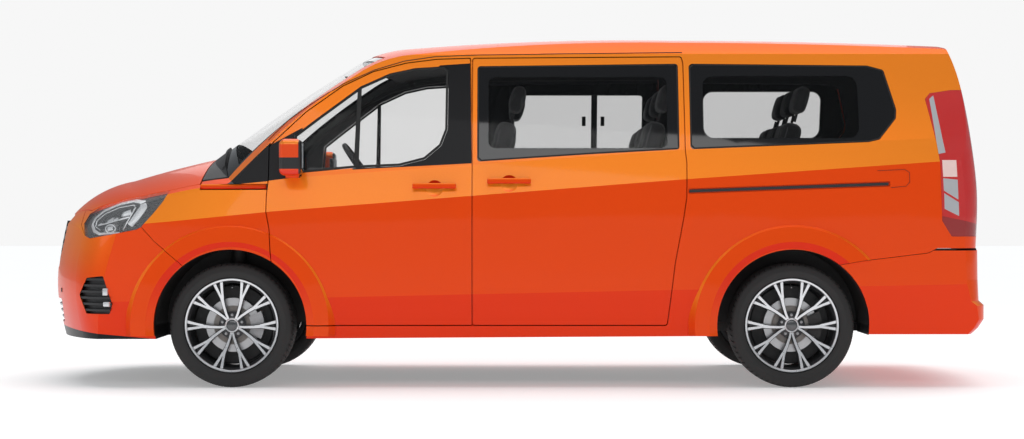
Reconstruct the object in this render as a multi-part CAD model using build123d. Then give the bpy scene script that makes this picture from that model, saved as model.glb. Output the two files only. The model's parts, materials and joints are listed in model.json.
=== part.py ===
from build123d import *
import math
import os
from collections import namedtuple

os.makedirs("parts", exist_ok=True)

# ---------------------------------------------------------------------------
# Long minibus: two hinged front doors, two sliding side doors, a tailgate.
# Millimetres, +Z up, front towards -X, left side towards -Y.
# The origin is on the ground, in the middle of the length and the width.
# ---------------------------------------------------------------------------

# driving dimensions
front_axle_x = -1571.0
wheelbase = 3101.0
rear_axle_x = front_axle_x + wheelbase
tyre_radius = 345.0
tyre_width = 235.0
wheel_y = 815.0
axle_z = tyre_radius
arch_radius = 421.0

# thicknesses and gaps
side_wall = 60.0
roof_wall = 45.0
skin_wall = 32.0
shut_gap = 6.0
door_skin = 25.0
door_rabbet = 45.0
pillar_lap = 20.0
seal_gap = 5.0
joint_gap = 0.6
bumper_gap = 3.0
lens_thickness = 5.0
lamp_depth = 14.0
seat_gap = 0.4
glass_depth = 5.0
glass_thickness = 6.0
cabin_floor_z = 560.0
floor_thickness = 60.0
under_z = 345.0


# ---------------------------------------------------------------------------
# small helpers
# ---------------------------------------------------------------------------
def box(x0, x1, y0, y1, z0, z1):
    """A block between two corners."""
    size = (x1 - x0, y1 - y0, z1 - z0)
    middle = ((x0 + x1) / 2, (y0 + y1) / 2, (z0 + z1) / 2)
    return Pos(*middle) * Box(*size)


def outline(points, radius=0):
    """A flat face from corner points, its corners rounded."""
    face = make_face(Polyline(*points, close=True))
    return fillet(face.vertices(), radius) if radius else face


def bounded(*curves):
    """A flat face inside a closed run of lines and arcs."""
    return make_face([edge for curve in curves for edge in curve.edges()])


def side_prism(face, y_from, y_to):
    """A side-view face (x, z) swept from y_from to y_to, both counted to the left."""
    return extrude(Plane.XZ.offset(y_from) * face, y_to - y_from)


def plan_prism(face, z_from, z_to):
    """A top-view face (x, y) swept upwards."""
    return extrude(Plane.XY.offset(z_from) * face, z_to - z_from)


def end_prism(face, x_from, x_to):
    """An end-view face (y, z) swept along the length."""
    return extrude(Plane.YZ.offset(x_from) * face, x_to - x_from)


def grown(face, amount):
    """The face with its outline moved outwards (inwards when negative)."""
    return offset(face, amount=amount, kind=Kind.INTERSECTION)


def cylinder_y(radius, x, z, y0, y1):
    """A round bar across the body between y0 and y1."""
    length = abs(y1 - y0)
    return Pos(x, (y0 + y1) / 2, z) * Rot(90, 0, 0) * Cylinder(radius, length)


def cylinder_z(radius, x, y, z0, z1):
    return Pos(x, y, (z0 + z1) / 2) * Cylinder(radius, z1 - z0)


def cylinder_x(radius, y, z, x0, x1):
    return Pos((x0 + x1) / 2, y, z) * Rot(0, 90, 0) * Cylinder(radius, x1 - x0)


def rod(start, end, radius):
    """A round bar between two points."""
    path = Vector(*end) - Vector(*start)
    plane = Plane(origin=start, z_dir=path)
    return plane * Pos(0, 0, path.length / 2) * Cylinder(radius, path.length)


def other_side(shape):
    """The same shape on the other side of the body."""
    return mirror(shape, about=Plane.XZ)


def pair(shape):
    """The shape on both sides, as loose solids of one piece."""
    return Compound(list(shape.solids()) + list(other_side(shape).solids()))


def loose(*shapes):
    """Several solids that stay separate in one piece."""
    return Compound([solid for shape in shapes for solid in shape.solids()])


def save(name, shape):
    export_step(shape, f"parts/{name}.step")


# ---------------------------------------------------------------------------
# body surfaces: the side, the top and the plan view each have their own loft,
# and the body is what the three have in common
# ---------------------------------------------------------------------------
SideSection = namedtuple(
    "SideSection",
    "x sill_y sill_z low_y low_z crease_y crease_z belt_y belt_z gutter_y gutter_z",
)
side_table = [
    SideSection(-2760, 905, 268, 935, 466, 958, 846, 925, 985, 560, 1850),
    SideSection(-1900, 938, 271, 979, 484, 989, 920, 943, 1062, 640, 1850),
    SideSection(-1330, 940, 273, 985, 496, 993, 976, 951, 1154, 806, 1850),
    SideSection(900, 940, 286, 985, 544, 993, 1150, 951, 1314, 806, 1857),
    SideSection(2760, 934, 296, 976, 580, 982, 1280, 940, 1400, 792, 1857),
]

TopSection = namedtuple(
    "TopSection",
    "y nose_x nose_z lip_x lip_z brow_x brow_z bonnet_x bonnet_z mid_x mid_z cowl_x cowl_z "
    "screen_x screen_z head_x head_z bend_x bend_z front_x front_z roof_x roof_z "
    "high_x high_z back_x back_z tail_x tail_z",
)
top_centre = TopSection(
    0, -2780, 660, -2640, 905, -2500, 1052, -2243, 1161, -2004, 1229, -1765, 1287,
    -1330, 1592, -928, 1848, -808, 1897, -660, 1925, 100, 1967,
    900, 1974, 1700, 1964, 2420, 1940,
)
top_inner = TopSection(
    450, -2725, 650, -2590, 890, -2455, 1030, -2215, 1132, -1985, 1198, -1725, 1254,
    -1290, 1575, -890, 1832, -770, 1881, -620, 1910, 100, 1953,
    900, 1960, 1700, 1950, 2410, 1926,
)
top_middle = TopSection(
    750, -2580, 620, -2450, 872, -2330, 996, -2130, 1088, -1900, 1148, -1640, 1192,
    -1238, 1530, -862, 1780, -745, 1832, -600, 1864, 100, 1910,
    900, 1922, 1700, 1912, 2390, 1890,
)
top_outer = TopSection(
    1010, -2340, 560, -2230, 812, -2150, 922, -1980, 1012, -1780, 1062, -1520, 1096,
    -1185, 1462, -850, 1690, -730, 1745, -580, 1782, 100, 1836,
    900, 1850, 1700, 1840, 2350, 1820,
)

PlanSection = namedtuple(
    "PlanSection", "z front_x front_radius front_corner rear_x rear_radius rear_corner"
)
plan_table = [
    PlanSection(200, -2640, 1500, 400, 2600, 4200, 160),
    PlanSection(330, -2664, 1500, 410, 2630, 4200, 160),
    PlanSection(520, -2697, 1480, 420, 2640, 4200, 165),
    PlanSection(800, -2673, 1450, 430, 2648, 4200, 170),
    PlanSection(1070, -2610, 1400, 440, 2657, 4100, 175),
    PlanSection(1300, -2540, 1350, 450, 2636, 4000, 180),
    PlanSection(1590, -2430, 1300, 450, 2588, 3900, 185),
    PlanSection(1780, -2340, 1300, 450, 2538, 3800, 190),
    PlanSection(1900, -2280, 1300, 450, 2486, 3700, 195),
    PlanSection(2060, -2200, 1300, 450, 2350, 3600, 200),
]
plan_side_y = 1002.0


def section_wire(s, inset):
    """End-view outline of the body sides at one station."""
    sill = (s.sill_y - inset, under_z if inset else s.sill_z)
    low = (s.low_y - inset, s.low_z)
    mid = (s.low_y + (s.crease_y - s.low_y) * 0.72 - inset, (s.low_z + s.crease_z) / 2)
    crease = (s.crease_y - inset, s.crease_z)
    belt = (s.belt_y - inset, s.belt_z - inset * 0.1)
    bulge = ((s.belt_y + s.gutter_y) / 2 + 7 - inset, (s.belt_z + s.gutter_z) / 2)
    gutter = (s.gutter_y - inset, s.gutter_z - inset * 0.3)
    roll = (gutter[0] - 62, gutter[1] + 60)
    top = (gutter[0] - 206, gutter[1] + 150)

    def side(k):
        def at(q):
            return (s.x, k * q[0], q[1])

        return [
            Line(at(sill), at(low)),
            ThreePointArc(at(low), at(mid), at(crease)),
            Line(at(crease), at(belt)),
            ThreePointArc(at(belt), at(bulge), at(gutter)),
            ThreePointArc(at(gutter), at(roll), at(top)),
        ]

    lid = Line((s.x, -top[0], top[1]), (s.x, top[0], top[1]))
    base = Line((s.x, sill[0], sill[1]), (s.x, -sill[0], sill[1]))
    return Wire(side(-1) + [lid] + side(1) + [base])


def profile_wire(s, side, inset):
    """Side-view outline of bonnet, windscreen and roof at one distance from the middle."""
    y = side * s.y

    def at(x, z, back=0.0, down=0.0):
        return (x + back * inset, y, z - down * inset)

    nose = at(s.nose_x, s.nose_z, 1.0, 0.5)
    lip = at(s.lip_x, s.lip_z, 0.9, 0.6)
    brow = at(s.brow_x, s.brow_z, 0.6, 0.8)
    bonnet = at(s.bonnet_x, s.bonnet_z, 0.3, 1.0)
    middle = at(s.mid_x, s.mid_z, 0.3, 1.0)
    cowl = at(s.cowl_x, s.cowl_z, 0.45, 0.9)
    screen = at(s.screen_x, s.screen_z, 0.6, 0.8)
    head = at(s.head_x, s.head_z, 0.45, 0.9)
    bend = at(s.bend_x, s.bend_z, 0.3, 1.0)
    front = at(s.front_x, s.front_z, 0.1, 1.0)
    roof = at(s.roof_x, s.roof_z, 0.0, 1.0)
    high = at(s.high_x, s.high_z, 0.0, 1.0)
    back = at(s.back_x, s.back_z, 0.0, 1.0)
    tail = at(s.tail_x, s.tail_z, 0.0, 1.0)
    end = at(2900, s.tail_z - 90, 0.0, 1.0)
    return Wire(
        [
            Line(nose, lip),
            ThreePointArc(lip, brow, bonnet),
            ThreePointArc(bonnet, middle, cowl),
            ThreePointArc(cowl, screen, head),
            ThreePointArc(head, bend, front),
            ThreePointArc(front, roof, high),
            ThreePointArc(high, back, tail),
            Line(tail, end),
            Line(end, (end[0], y, 100)),
            Line((end[0], y, 100), (nose[0], y, 100)),
            Line((nose[0], y, 100), nose),
        ]
    )


def end_arcs(tip_x, radius, corner, side_y, way):
    """One end of a plan outline: a wide arc running into a corner arc and the side."""
    centre_x = tip_x + way * radius
    corner_y = side_y - corner
    corner_x = centre_x - way * math.sqrt((radius - corner) ** 2 - corner_y**2)
    lean = math.atan2(corner_y, abs(corner_x - centre_x))
    touch = (centre_x - way * radius * math.cos(lean), radius * math.sin(lean))
    half = (lean + math.pi / 2) / 2
    middle = (corner_x - way * corner * math.cos(half), corner_y + corner * math.sin(half))
    return touch, middle, (corner_x, side_y)


def plan_wire(s, inset):
    """Top-view outline of the body at one height."""
    side_y = plan_side_y - inset
    front = s.front_x + inset
    rear = s.rear_x - inset
    f_touch, f_mid, f_end = end_arcs(front, s.front_radius, s.front_corner, side_y, 1)
    r_touch, r_mid, r_end = end_arcs(rear, s.rear_radius, s.rear_corner, side_y, -1)

    def at(q, k):
        return (q[0], k * q[1], s.z)

    return Wire(
        [
            ThreePointArc(at(f_touch, -1), (front, 0, s.z), at(f_touch, 1)),
            ThreePointArc(at(f_touch, 1), at(f_mid, 1), at(f_end, 1)),
            Line(at(f_end, 1), at(r_end, 1)),
            ThreePointArc(at(r_end, 1), at(r_mid, 1), at(r_touch, 1)),
            ThreePointArc(at(r_touch, 1), (rear, 0, s.z), at(r_touch, -1)),
            ThreePointArc(at(r_touch, -1), at(r_mid, -1), at(r_end, -1)),
            Line(at(r_end, -1), at(f_end, -1)),
            ThreePointArc(at(f_end, -1), at(f_mid, -1), at(f_touch, -1)),
        ]
    )


def side_loft(inset=0.0):
    return Solid.make_loft([section_wire(s, inset) for s in side_table], ruled=True)


def top_loft(inset=0.0):
    outward = [top_inner, top_middle, top_outer]
    left = [profile_wire(s, -1, inset) for s in reversed(outward)]
    right = [profile_wire(s, 1, inset) for s in outward]
    return Solid.make_loft(left + [profile_wire(top_centre, 1, inset)] + right)


def plan_loft(inset=0.0):
    return Solid.make_loft([plan_wire(s, inset) for s in plan_table])


def body(side_inset, top_inset, plan_inset):
    """The body volume with its sides, top and ends moved inwards."""
    return side_loft(side_inset) & top_loft(top_inset) & plan_loft(plan_inset)


# distance from the wheel axis, distance from the middle of the body
flare_section = [(400, 930), (400, 976), (424, 985), (463, 1004), (545, 1002), (578, 958), (578, 930)]


def flare(axle_x):
    """The swollen ring round a wheel arch."""
    ring = revolve(make_face(Polyline(*[(r, -y) for r, y in flare_section], close=True)), Axis.Y)
    return Pos(axle_x, 0, axle_z) * ring & box(axle_x - 700, axle_x + 700, -1100, 0, 290, 1100)


hull = body(0, 0, 0) + pair(flare(front_axle_x) + flare(rear_axle_x))
cabin_space = body(side_wall, roof_wall, side_wall)
nose_space = body(skin_wall, skin_wall, skin_wall)
cabin_shell = hull - cabin_space
nose_shell = hull - nose_space

# ---------------------------------------------------------------------------
# shut lines in the side view (x, z)
# ---------------------------------------------------------------------------
door_front_x = -1363.0
pillar_x = -242.0
door_bottom_z = 350.0
slide_rear_x = 933.0
cowl_x = -1750.0

front_door_outline = outline(
    [
        (-1341, 690),
        (-1352, 880),
        (-1369, 970),
        (-1369, 1060),
        (-1360, 1160),
        (-1360, 1335),
        (-1160, 1525),
        (-960, 1670),
        (-790, 1752),
        (-610, 1800),
        (-440, 1822),
        (pillar_x - 12, 1828),
        (pillar_x, 1240),
        (pillar_x, door_bottom_z),
        (-1300, door_bottom_z),
    ],
    4,
)
front_window_outline = outline(
    [
        (-1245, 1182),
        (-1222, 1398),
        (-1090, 1500),
        (-860, 1672),
        (-700, 1745),
        (-560, 1775),
        (-400, 1785),
        (-372, 1760),
        (-375, 1430),
        (-410, 1338),
        (-500, 1262),
        (-640, 1226),
        (-900, 1214),
    ],
    14,
)
sliding_door_outline = outline(
    [
        (pillar_x + shut_gap, door_bottom_z),
        (pillar_x + shut_gap, 1828),
        (922, 1836),
        (930, 1800),
        (slide_rear_x, 1310),
        (940, 1250),
        (938, 1050),
        (920, 930),
        (875, 690),
        (834, door_bottom_z),
    ],
    12,
)
sliding_window_outline = outline(
    [(-212, 1250), (-212, 1786), (905, 1800), (905, 1318), (400, 1290)], 18
)
quarter_window_outline = outline(
    [
        (965, 1318),
        (965, 1800),
        (1960, 1790),
        (2050, 1765),
        (2110, 1540),
        (2105, 1490),
        (2010, 1372),
        (1950, 1358),
    ],
    22,
)
headlamp_outline = outline(
    [
        (-2420, 905),
        (-2395, 960),
        (-2330, 1000),
        (-2225, 1043),
        (-2075, 1075),
        (-1905, 1102),
        (-1945, 1030),
        (-1995, 965),
        (-2060, 890),
        (-2085, 876),
        (-2240, 846),
        (-2365, 826),
        (-2400, 840),
    ],
    8,
)
tail_lamp_outline = outline(
    [
        (2272, 1600),
        (2300, 1632),
        (2420, 1650),
        (2700, 1650),
        (2700, 838),
        (2400, 838),
        (2348, 923),
        (2338, 1218),
        (2322, 1362),
    ],
    8,
)
front_bumper_outline = outline(
    [
        (-2900, 150),
        (-2900, 1010),
        (-2440, 1010),
        (-2440, 900),
        (-2400, 840),
        (-2365, 826),
        (-2240, 846),
        (-2062, 890),
        (-1990, 810),
        (-1860, 700),
        (-1800, 640),
        (-1800, 150),
    ]
)
rear_bumper_outline = outline(
    [
        (1760, 150),
        (1760, 675),
        (1900, 700),
        (2270, 745),
        (2320, 770),
        (2900, 770),
        (2900, 150),
    ]
)
# openings and the blocks that cut them
wheelhouse_y = 520.0
arch_hole = cylinder_y(arch_radius, front_axle_x, axle_z, -1100, -560) + cylinder_y(
    arch_radius, rear_axle_x, axle_z, -1100, -560
)
def door_block(face):
    """A door: the full outline outside, a smaller one behind it."""
    ring = side_prism(grown(face, 30), 600, 1010) - side_prism(grown(face, -door_rabbet), 600, 1010)
    return side_prism(face, 700, 1010) - (side_loft(door_skin) & ring)


def door_hole(face):
    """The opening for a door, with a lap behind the door's outer layer."""
    outer = side_prism(grown(face, shut_gap), 700, 1010) - side_loft(door_skin + seal_gap)
    return outer + side_prism(grown(face, -pillar_lap), 700, 1010)


front_door_block = door_block(front_door_outline)
front_door_hole = door_hole(front_door_outline)
sliding_block = door_block(sliding_door_outline)
sliding_hole = door_hole(sliding_door_outline)
headlamp_block = side_prism(headlamp_outline, 480, 1010)
headlamp_hole = side_prism(grown(headlamp_outline, joint_gap), 480, 1010)
tail_block = side_prism(tail_lamp_outline, 770, 1010)
tail_hole = side_prism(grown(tail_lamp_outline, joint_gap), 770 - joint_gap, 1010)
bumper_block = side_prism(front_bumper_outline, -1100, 1100)
bumper_hole = side_prism(grown(front_bumper_outline, bumper_gap), -1100, 1100)
rear_bumper_hole = side_prism(grown(rear_bumper_outline, bumper_gap), -1100, 1100)

# ---------------------------------------------------------------------------
# plan regions (x, y): bonnet, windscreen, roof, body side
# ---------------------------------------------------------------------------
bonnet_edge = [
    (-2527, 450),
    (-2381, 700),
    (-2233, 800),
    (-2062, 868),
    (-1897, 890),
    (cowl_x, 884),
]
bonnet_plan = bounded(
    ThreePointArc((-2527, 450), (-2600, 0), (-2527, -450)),
    Polyline(*[(x, -y) for x, y in bonnet_edge]),
    Line((cowl_x, -884), (cowl_x, 884)),
    Polyline(*reversed(bonnet_edge)),
)
screen_plan = bounded(
    ThreePointArc((-1600, -850), (-1700, 0), (-1600, 850)),
    Line((-1600, 850), (-730, 728)),
    ThreePointArc((-730, 728), (-850, 0), (-730, -728)),
    Line((-730, -728), (-1600, -850)),
)
roof_side_y = 792.0
roof_rear_x = 2392.0
roof_plan = outline(
    [
        (-1000, -735),
        (-700, -735),
        (-640, -roof_side_y),
        (roof_rear_x, -roof_side_y),
        (roof_rear_x, roof_side_y),
        (-640, roof_side_y),
        (-700, 735),
        (-1000, 735),
    ]
)
side_plan = outline(
    [
        (cowl_x + 8, -1100),
        (cowl_x + 8, -855),
        (-1600, -852),
        (-700, -735),
        (-640, -roof_side_y),
        (roof_rear_x, -roof_side_y),
        (roof_rear_x, -560),
        (2800, -560),
        (2800, -1100),
    ]
)
wing_plan = outline(
    [(-2800, -1100), (-2800, -482), (cowl_x, -482), (-1330, -780), (-1330, -1100)]
)

# ---------------------------------------------------------------------------
# roof and windscreen
# ---------------------------------------------------------------------------
screen_hole = plan_prism(screen_plan, 1100, 2100)
roof_region = plan_prism(roof_plan, 1500, 2100) - pair(box(-1000, 2800, -1100, -737, 1400, 1844))
roof_panel = (cabin_shell & roof_region) - screen_hole
for x in (-100, 1400):
    for y in (-690, 690):
        roof_panel = roof_panel - cylinder_z(4, x, y, 1800, 2100)
save("roof_panel", roof_panel)

glass_band = top_loft(glass_depth) - top_loft(glass_depth + glass_thickness)
windscreen = glass_band & screen_hole
save("windscreen", windscreen)

cowl_plan = outline(
    [(cowl_x + shut_gap, -830), (-1560, -830), (-1560, 830), (cowl_x + shut_gap, 830)]
)
cowl_panel = (nose_shell & plan_prism(cowl_plan, 1000, 1500)) - screen_hole
save("cowl_panel", cowl_panel)

wiper_band = top_loft(-10) - top_loft(glass_depth)
wiper_strips = loose(
    plan_prism(outline([(-1640, -700), (-1652, -700), (-1700, -40), (-1688, -40)]), 1000, 1500),
    plan_prism(outline([(-1672, 20), (-1684, 20), (-1632, 640), (-1620, 640)]), 1000, 1500),
)
save("wipers", (wiper_band & wiper_strips) - cowl_panel)

# ---------------------------------------------------------------------------
# body sides
# ---------------------------------------------------------------------------
tailgate_outline = outline(
    [
        (-660, 1990),
        (-700, 1840),
        (-745, 1600),
        (-762, 1300),
        (-762, 900),
        (-735, 760),
        (735, 760),
        (762, 900),
        (762, 1300),
        (745, 1600),
        (700, 1840),
        (660, 1990),
    ],
    14,
)
RailSlot = namedtuple("RailSlot", "x0 z0 x1 z1 height")
rail_slot = RailSlot(950, 1072, 2060, 1112, 30)
rail_outline = outline(
    [
        (rail_slot.x0, rail_slot.z0),
        (rail_slot.x1, rail_slot.z1),
        (rail_slot.x1, rail_slot.z1 + rail_slot.height),
        (rail_slot.x0, rail_slot.z0 + rail_slot.height),
    ],
    6,
)
rail_depth = 16.0
tailgate_block = end_prism(tailgate_outline, roof_rear_x + shut_gap, 2800)
tailgate_hole = end_prism(grown(tailgate_outline, shut_gap), roof_rear_x, 2800)

side_region = plan_prism(side_plan, 150, 2100) - box(-1900, -1300, -1100, -560, 1, 1096)
side_region = side_region + box(-1160, 1100, -950, -780, 250, under_z)
side_region = side_region + box(-640, roof_rear_x, -roof_side_y, -737, 1600, 1844)
left_side = (cabin_shell & side_region) - front_door_hole - sliding_hole - arch_hole
left_side = left_side - tailgate_hole - tail_hole - rear_bumper_hole
left_side = left_side - side_prism(quarter_window_outline, 700, 1010)
left_side = left_side - box(-1800, -1360, -1100, -400, 150, 1128)
rail_cut = side_prism(rail_outline, 900, 1010) - side_loft(rail_depth)
left_side = left_side - rail_cut
rail = side_prism(grown(rail_outline, -7), 900, 1010) & (side_loft(6) - side_loft(rail_depth))
save("door_rails", pair(rail))
save("side_panel_left", left_side)
save("side_panel_right", other_side(left_side))

# ---------------------------------------------------------------------------
# doors
# ---------------------------------------------------------------------------
front_door = (cabin_shell & front_door_block) - arch_hole
front_door = front_door - side_prism(front_window_outline, 600, 1010)

Handle = namedtuple("Handle", "x z length height")
front_handle = Handle(-446, 1116, 240, 30)
slide_handle = Handle(-36, 1143, 240, 30)
handle_skin_y = 981.0
bowl_radius = 74.0
bowl_depth = 20.0


def handle_bowl(h):
    """The dished recess behind a door handle."""
    return Pos(h.x, -(handle_skin_y + bowl_radius - bowl_depth), h.z) * Sphere(bowl_radius)


def handle_bar(h):
    """A pull handle on two feet over its recess."""
    bar = box(h.x - h.length / 2, h.x + h.length / 2, -handle_skin_y - 42,
              -handle_skin_y - 24, h.z - h.height / 2, h.z + h.height / 2)
    bar = fillet(bar.edges(), 7)
    reach = h.length / 2 - 16
    for x in (h.x - reach, h.x + reach):
        bar = bar + box(x - 14, x + 14, -handle_skin_y - 30, -900, h.z - 9, h.z + 9)
    return bar - side_loft()


front_door = front_door - handle_bowl(front_handle)
save("front_door_left", front_door)
save("front_door_right", other_side(front_door))
save("door_handle_left", handle_bar(front_handle))
save("door_handle_right", other_side(handle_bar(front_handle)))
save("sliding_handles", pair(handle_bar(slide_handle)))

sliding_door = (cabin_shell & sliding_block) - handle_bowl(slide_handle)
sliding_door = sliding_door - side_prism(sliding_window_outline, 600, 1010)
save("sliding_door_left", sliding_door)
save("sliding_door_right", other_side(sliding_door))

side_glass_band = side_loft(glass_depth) - side_loft(glass_depth + glass_thickness)
front_glass = side_glass_band & side_prism(front_window_outline, 600, 1010)
save("door_glass_left", front_glass)
save("door_glass_right", other_side(front_glass))
slide_glass = side_glass_band & side_prism(sliding_window_outline, 600, 1010)
quarter_glass = side_glass_band & side_prism(quarter_window_outline, 700, 1010)
save("side_windows", pair(loose(slide_glass, quarter_glass)))

def door_seal(face):
    """The rubber strip on the lap behind a door."""
    ring = side_prism(grown(face, -4), 700, 1010) - side_prism(grown(face, -pillar_lap), 700, 1010)
    return ring & (side_loft(door_skin + seat_gap) - side_loft(door_skin + seal_gap))


front_seal = door_seal(front_door_outline) - arch_hole
save("door_seals", pair(loose(front_seal, door_seal(sliding_door_outline))))

# ---------------------------------------------------------------------------
# tailgate
# ---------------------------------------------------------------------------
tail_window_outline = outline(
    [(-640, 1840), (-690, 1400), (-660, 1330), (660, 1330), (690, 1400), (640, 1840)], 30
)
tail_window_block = end_prism(tail_window_outline, 2350, 2800)
tailgate = (cabin_shell & tailgate_block) - tail_window_block
plate_recess = box(2625, 2800, -270, 270, 960, 1100)
tailgate = tailgate - plate_recess
save("tailgate", tailgate)
tail_glass = plan_loft(glass_depth) - plan_loft(glass_depth + glass_thickness)
save("tailgate_glass", tail_glass & tail_window_block)

# ---------------------------------------------------------------------------
# bonnet, wings, bumpers, lamps, grille
# ---------------------------------------------------------------------------
bonnet_block = plan_prism(bonnet_plan, 800, 1500)
bonnet_hole = plan_prism(grown(bonnet_plan, shut_gap), 700, 1500)
bonnet = nose_shell & bonnet_block
save("bonnet", bonnet)

wing = nose_shell & plan_prism(wing_plan, 640, 1500)
wing = wing - front_door_hole - arch_hole - bonnet_hole - headlamp_hole - bumper_hole
wing = wing - box(cowl_x, -1300, -900, 0, 1100, 1500) - plan_prism(side_plan, 1094, 1500)
save("front_wings", pair(wing))

grille_outline = outline(
    [(-478, 960), (-478, 800), (-400, 655), (400, 655), (478, 800), (478, 960)], 12
)
intake_outline = outline([(-560, 480), (-500, 345), (500, 345), (560, 480)], 30)
fog_outline = outline(
    [(-2427, 513), (-2376, 608), (-2273, 620), (-2222, 462), (-2238, 409), (-2380, 409)], 10
)
grille_block = end_prism(grille_outline, -2800, -2400)
intake_block = end_prism(intake_outline, -2800, -2400)
fog_block = side_prism(fog_outline, 480, 1010)
tyre_swing = cylinder_y(arch_radius, front_axle_x, axle_z, -1100, -wheelhouse_y)
front_bumper = (nose_shell & bumper_block) - pair(tyre_swing) - pair(headlamp_hole)
front_bumper = front_bumper - bonnet_hole - grille_block - intake_block - pair(fog_block)
save("front_bumper", front_bumper)

GrilleBars = namedtuple("GrilleBars", "low_z pitch height count")
grille_bars = GrilleBars(668, 50, 26, 5)
intake_bars = GrilleBars(366, 36, 10, 3)
fog_bars = GrilleBars(424, 34, 12, 6)


def bar_rack(bars, y_reach):
    """Level slabs at an even pitch, right across the nose."""
    slabs = [
        box(-2900, -2000, -y_reach, y_reach, bars.low_z + k * bars.pitch,
            bars.low_z + k * bars.pitch + bars.height)
        for k in range(bars.count)
    ]
    return loose(*slabs)


nose_band = plan_loft(4) - plan_loft(26)
grille_ribs = [box(-2900, -2400, y - 5, y + 5, 650, 925) for y in (-300, -100, 100, 300)]
grille = nose_band & grille_block & (bar_rack(grille_bars, 500) + grille_ribs)
intake = nose_band & intake_block & bar_rack(intake_bars, 600)
save("grille", loose(grille - bonnet_hole, intake))
fog_slats = nose_band & fog_block & bar_rack(fog_bars, 1010)
fog_back = (plan_loft(26) - plan_loft(skin_wall)) & fog_block
save("fog_lamps", pair(fog_slats + fog_back))
save("radiator", box(-2520, -2440, -430, 430, 420, 860))
lamp_space = body(lens_thickness, lens_thickness, lens_thickness)
lamp_inner = body(lamp_depth, lamp_depth, lamp_depth)
headlamp = (nose_shell & headlamp_block & lamp_inner) - bonnet_hole
headlamp_lens = ((hull - lamp_space) & headlamp_block) - bonnet_hole
save("headlamps", pair(headlamp))
save("headlamp_lenses", pair(headlamp_lens))
save("tail_lamps", pair((cabin_shell & tail_block) - tailgate_hole))

BumperSection = namedtuple("BumperSection", "z rear_x")
bumper_table = [
    BumperSection(296, 2622),
    BumperSection(330, 2660),
    BumperSection(378, 2692),
    BumperSection(455, 2692),
    BumperSection(480, 2664),
    BumperSection(600, 2658),
    BumperSection(780, 2656),
]


def bumper_loft(inset):
    wires = []
    for z, rear_x in bumper_table:
        wires.append(plan_wire(PlanSection(z, -2640, 1500, 400, rear_x, 4200, 180), inset))
    return Solid.make_loft(wires, ruled=True)


rear_bumper = (side_loft() & bumper_loft(0)) - (side_loft(skin_wall) & bumper_loft(skin_wall))
rear_bumper = rear_bumper & side_prism(rear_bumper_outline, -1100, 1100)
rear_bumper = rear_bumper & box(1700, 2900, -1100, 1100, 297, 760)
rear_bumper = rear_bumper - pair(arch_hole) - box(1700, 2900, -730, 730, 745, 800)
save("rear_bumper", rear_bumper - end_prism(grown(tailgate_outline, shut_gap), 2300, 2800))

# ---------------------------------------------------------------------------
# underbody: floor, sills, wheelhouses, cross members
# ---------------------------------------------------------------------------
floor_edge_y = 846.0
floor_front_x = -1330.0
floor_rear_x = 2540.0
floor_under_z = cabin_floor_z - floor_thickness

tub_wall = 34.0
tub_side_y = wheelhouse_y - 20
rear_tub = cylinder_y(arch_radius + tub_wall, rear_axle_x, axle_z, -900, -tub_side_y)
rear_tub = rear_tub & box(0, 2400, -900, 0, under_z, 900) & side_loft(side_wall)
rear_space = cylinder_y(arch_radius, rear_axle_x, axle_z, -1100, -wheelhouse_y)
save("rear_wheelhouses", pair(rear_tub - rear_space))
tub_hole = cylinder_y(
    arch_radius + tub_wall + joint_gap, rear_axle_x, axle_z, -1100, -tub_side_y + joint_gap
)
front_space = cylinder_y(arch_radius, front_axle_x, axle_z, -1100, -wheelhouse_y)
front_tub = cylinder_y(arch_radius + 27, front_axle_x, axle_z, -1100, -wheelhouse_y + 26)
floor = box(floor_front_x, floor_rear_x, -floor_edge_y, floor_edge_y, floor_under_z, cabin_floor_z)
sill_rail = box(-1085, 1080, -floor_edge_y, -770, under_z, floor_under_z)
long_rail = box(floor_front_x, floor_rear_x - 40, -500, -410, 380, floor_under_z)
cross_members = [
    box(x, x + 90, -floor_edge_y + 1, floor_edge_y - 1, 400, floor_under_z)
    for x in (-1000, -300, 400, 1000)
]
underbody = floor + pair(sill_rail) + pair(long_rail)
for member in cross_members:
    underbody = underbody + member
underbody = underbody + box(2440, floor_rear_x, -740, 740, 400, 740)
underbody = underbody - pair(tub_hole) - pair(front_tub)
tow_holes = [
    cylinder_x(6.5, y, z, 2400, 2600) for y in (-60, 60) for z in (430, 490)
]
for hole in tow_holes:
    underbody = underbody - hole
bumper_arms = box(2540, 2800, -600, -540, 400, 460) & bumper_loft(skin_wall)
underbody = underbody + pair(bumper_arms)
save("underbody", underbody)

# ---------------------------------------------------------------------------
# front structure: firewall, inner wings, front rails, lamp carrier
# ---------------------------------------------------------------------------
inner_wing = cylinder_y(arch_radius + 26, front_axle_x, axle_z, -966, -wheelhouse_y + 26)
inner_wing = (inner_wing & box(-2200, -1000, -966, 0, under_z, 900)) - front_space
front_door_clear = box(-1345, 0, -1000, -870, 0, 1200)
inner_wing = inner_wing - front_door_clear
front_rail = box(-2440, floor_front_x, -494, -414, 400, 520)
strut_tower = box(-1690, -1450, -620, -494, 765, 960)
firewall = box(floor_front_x - 40, floor_front_x, -800, 800, 420, 1096) - pair(front_tub)
cowl_beam = box(-1560, floor_front_x, -780, 780, 1030, 1096)
lamp_carrier = box(-2440, -2380, -620, 620, 400, 780)
front_structure = pair(inner_wing + front_rail + strut_tower) + firewall + cowl_beam
bumper_arm = box(-2900, -2430, -500, -440, 520, 580)
front_structure = (front_structure + lamp_carrier + pair(bumper_arm)) & nose_space
bonnet_stop = cylinder_z(16, -2410, -560, 760, 1100) & top_loft(skin_wall + seat_gap)
front_structure = front_structure + pair(bonnet_stop)
save("front_structure", front_structure)

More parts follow.
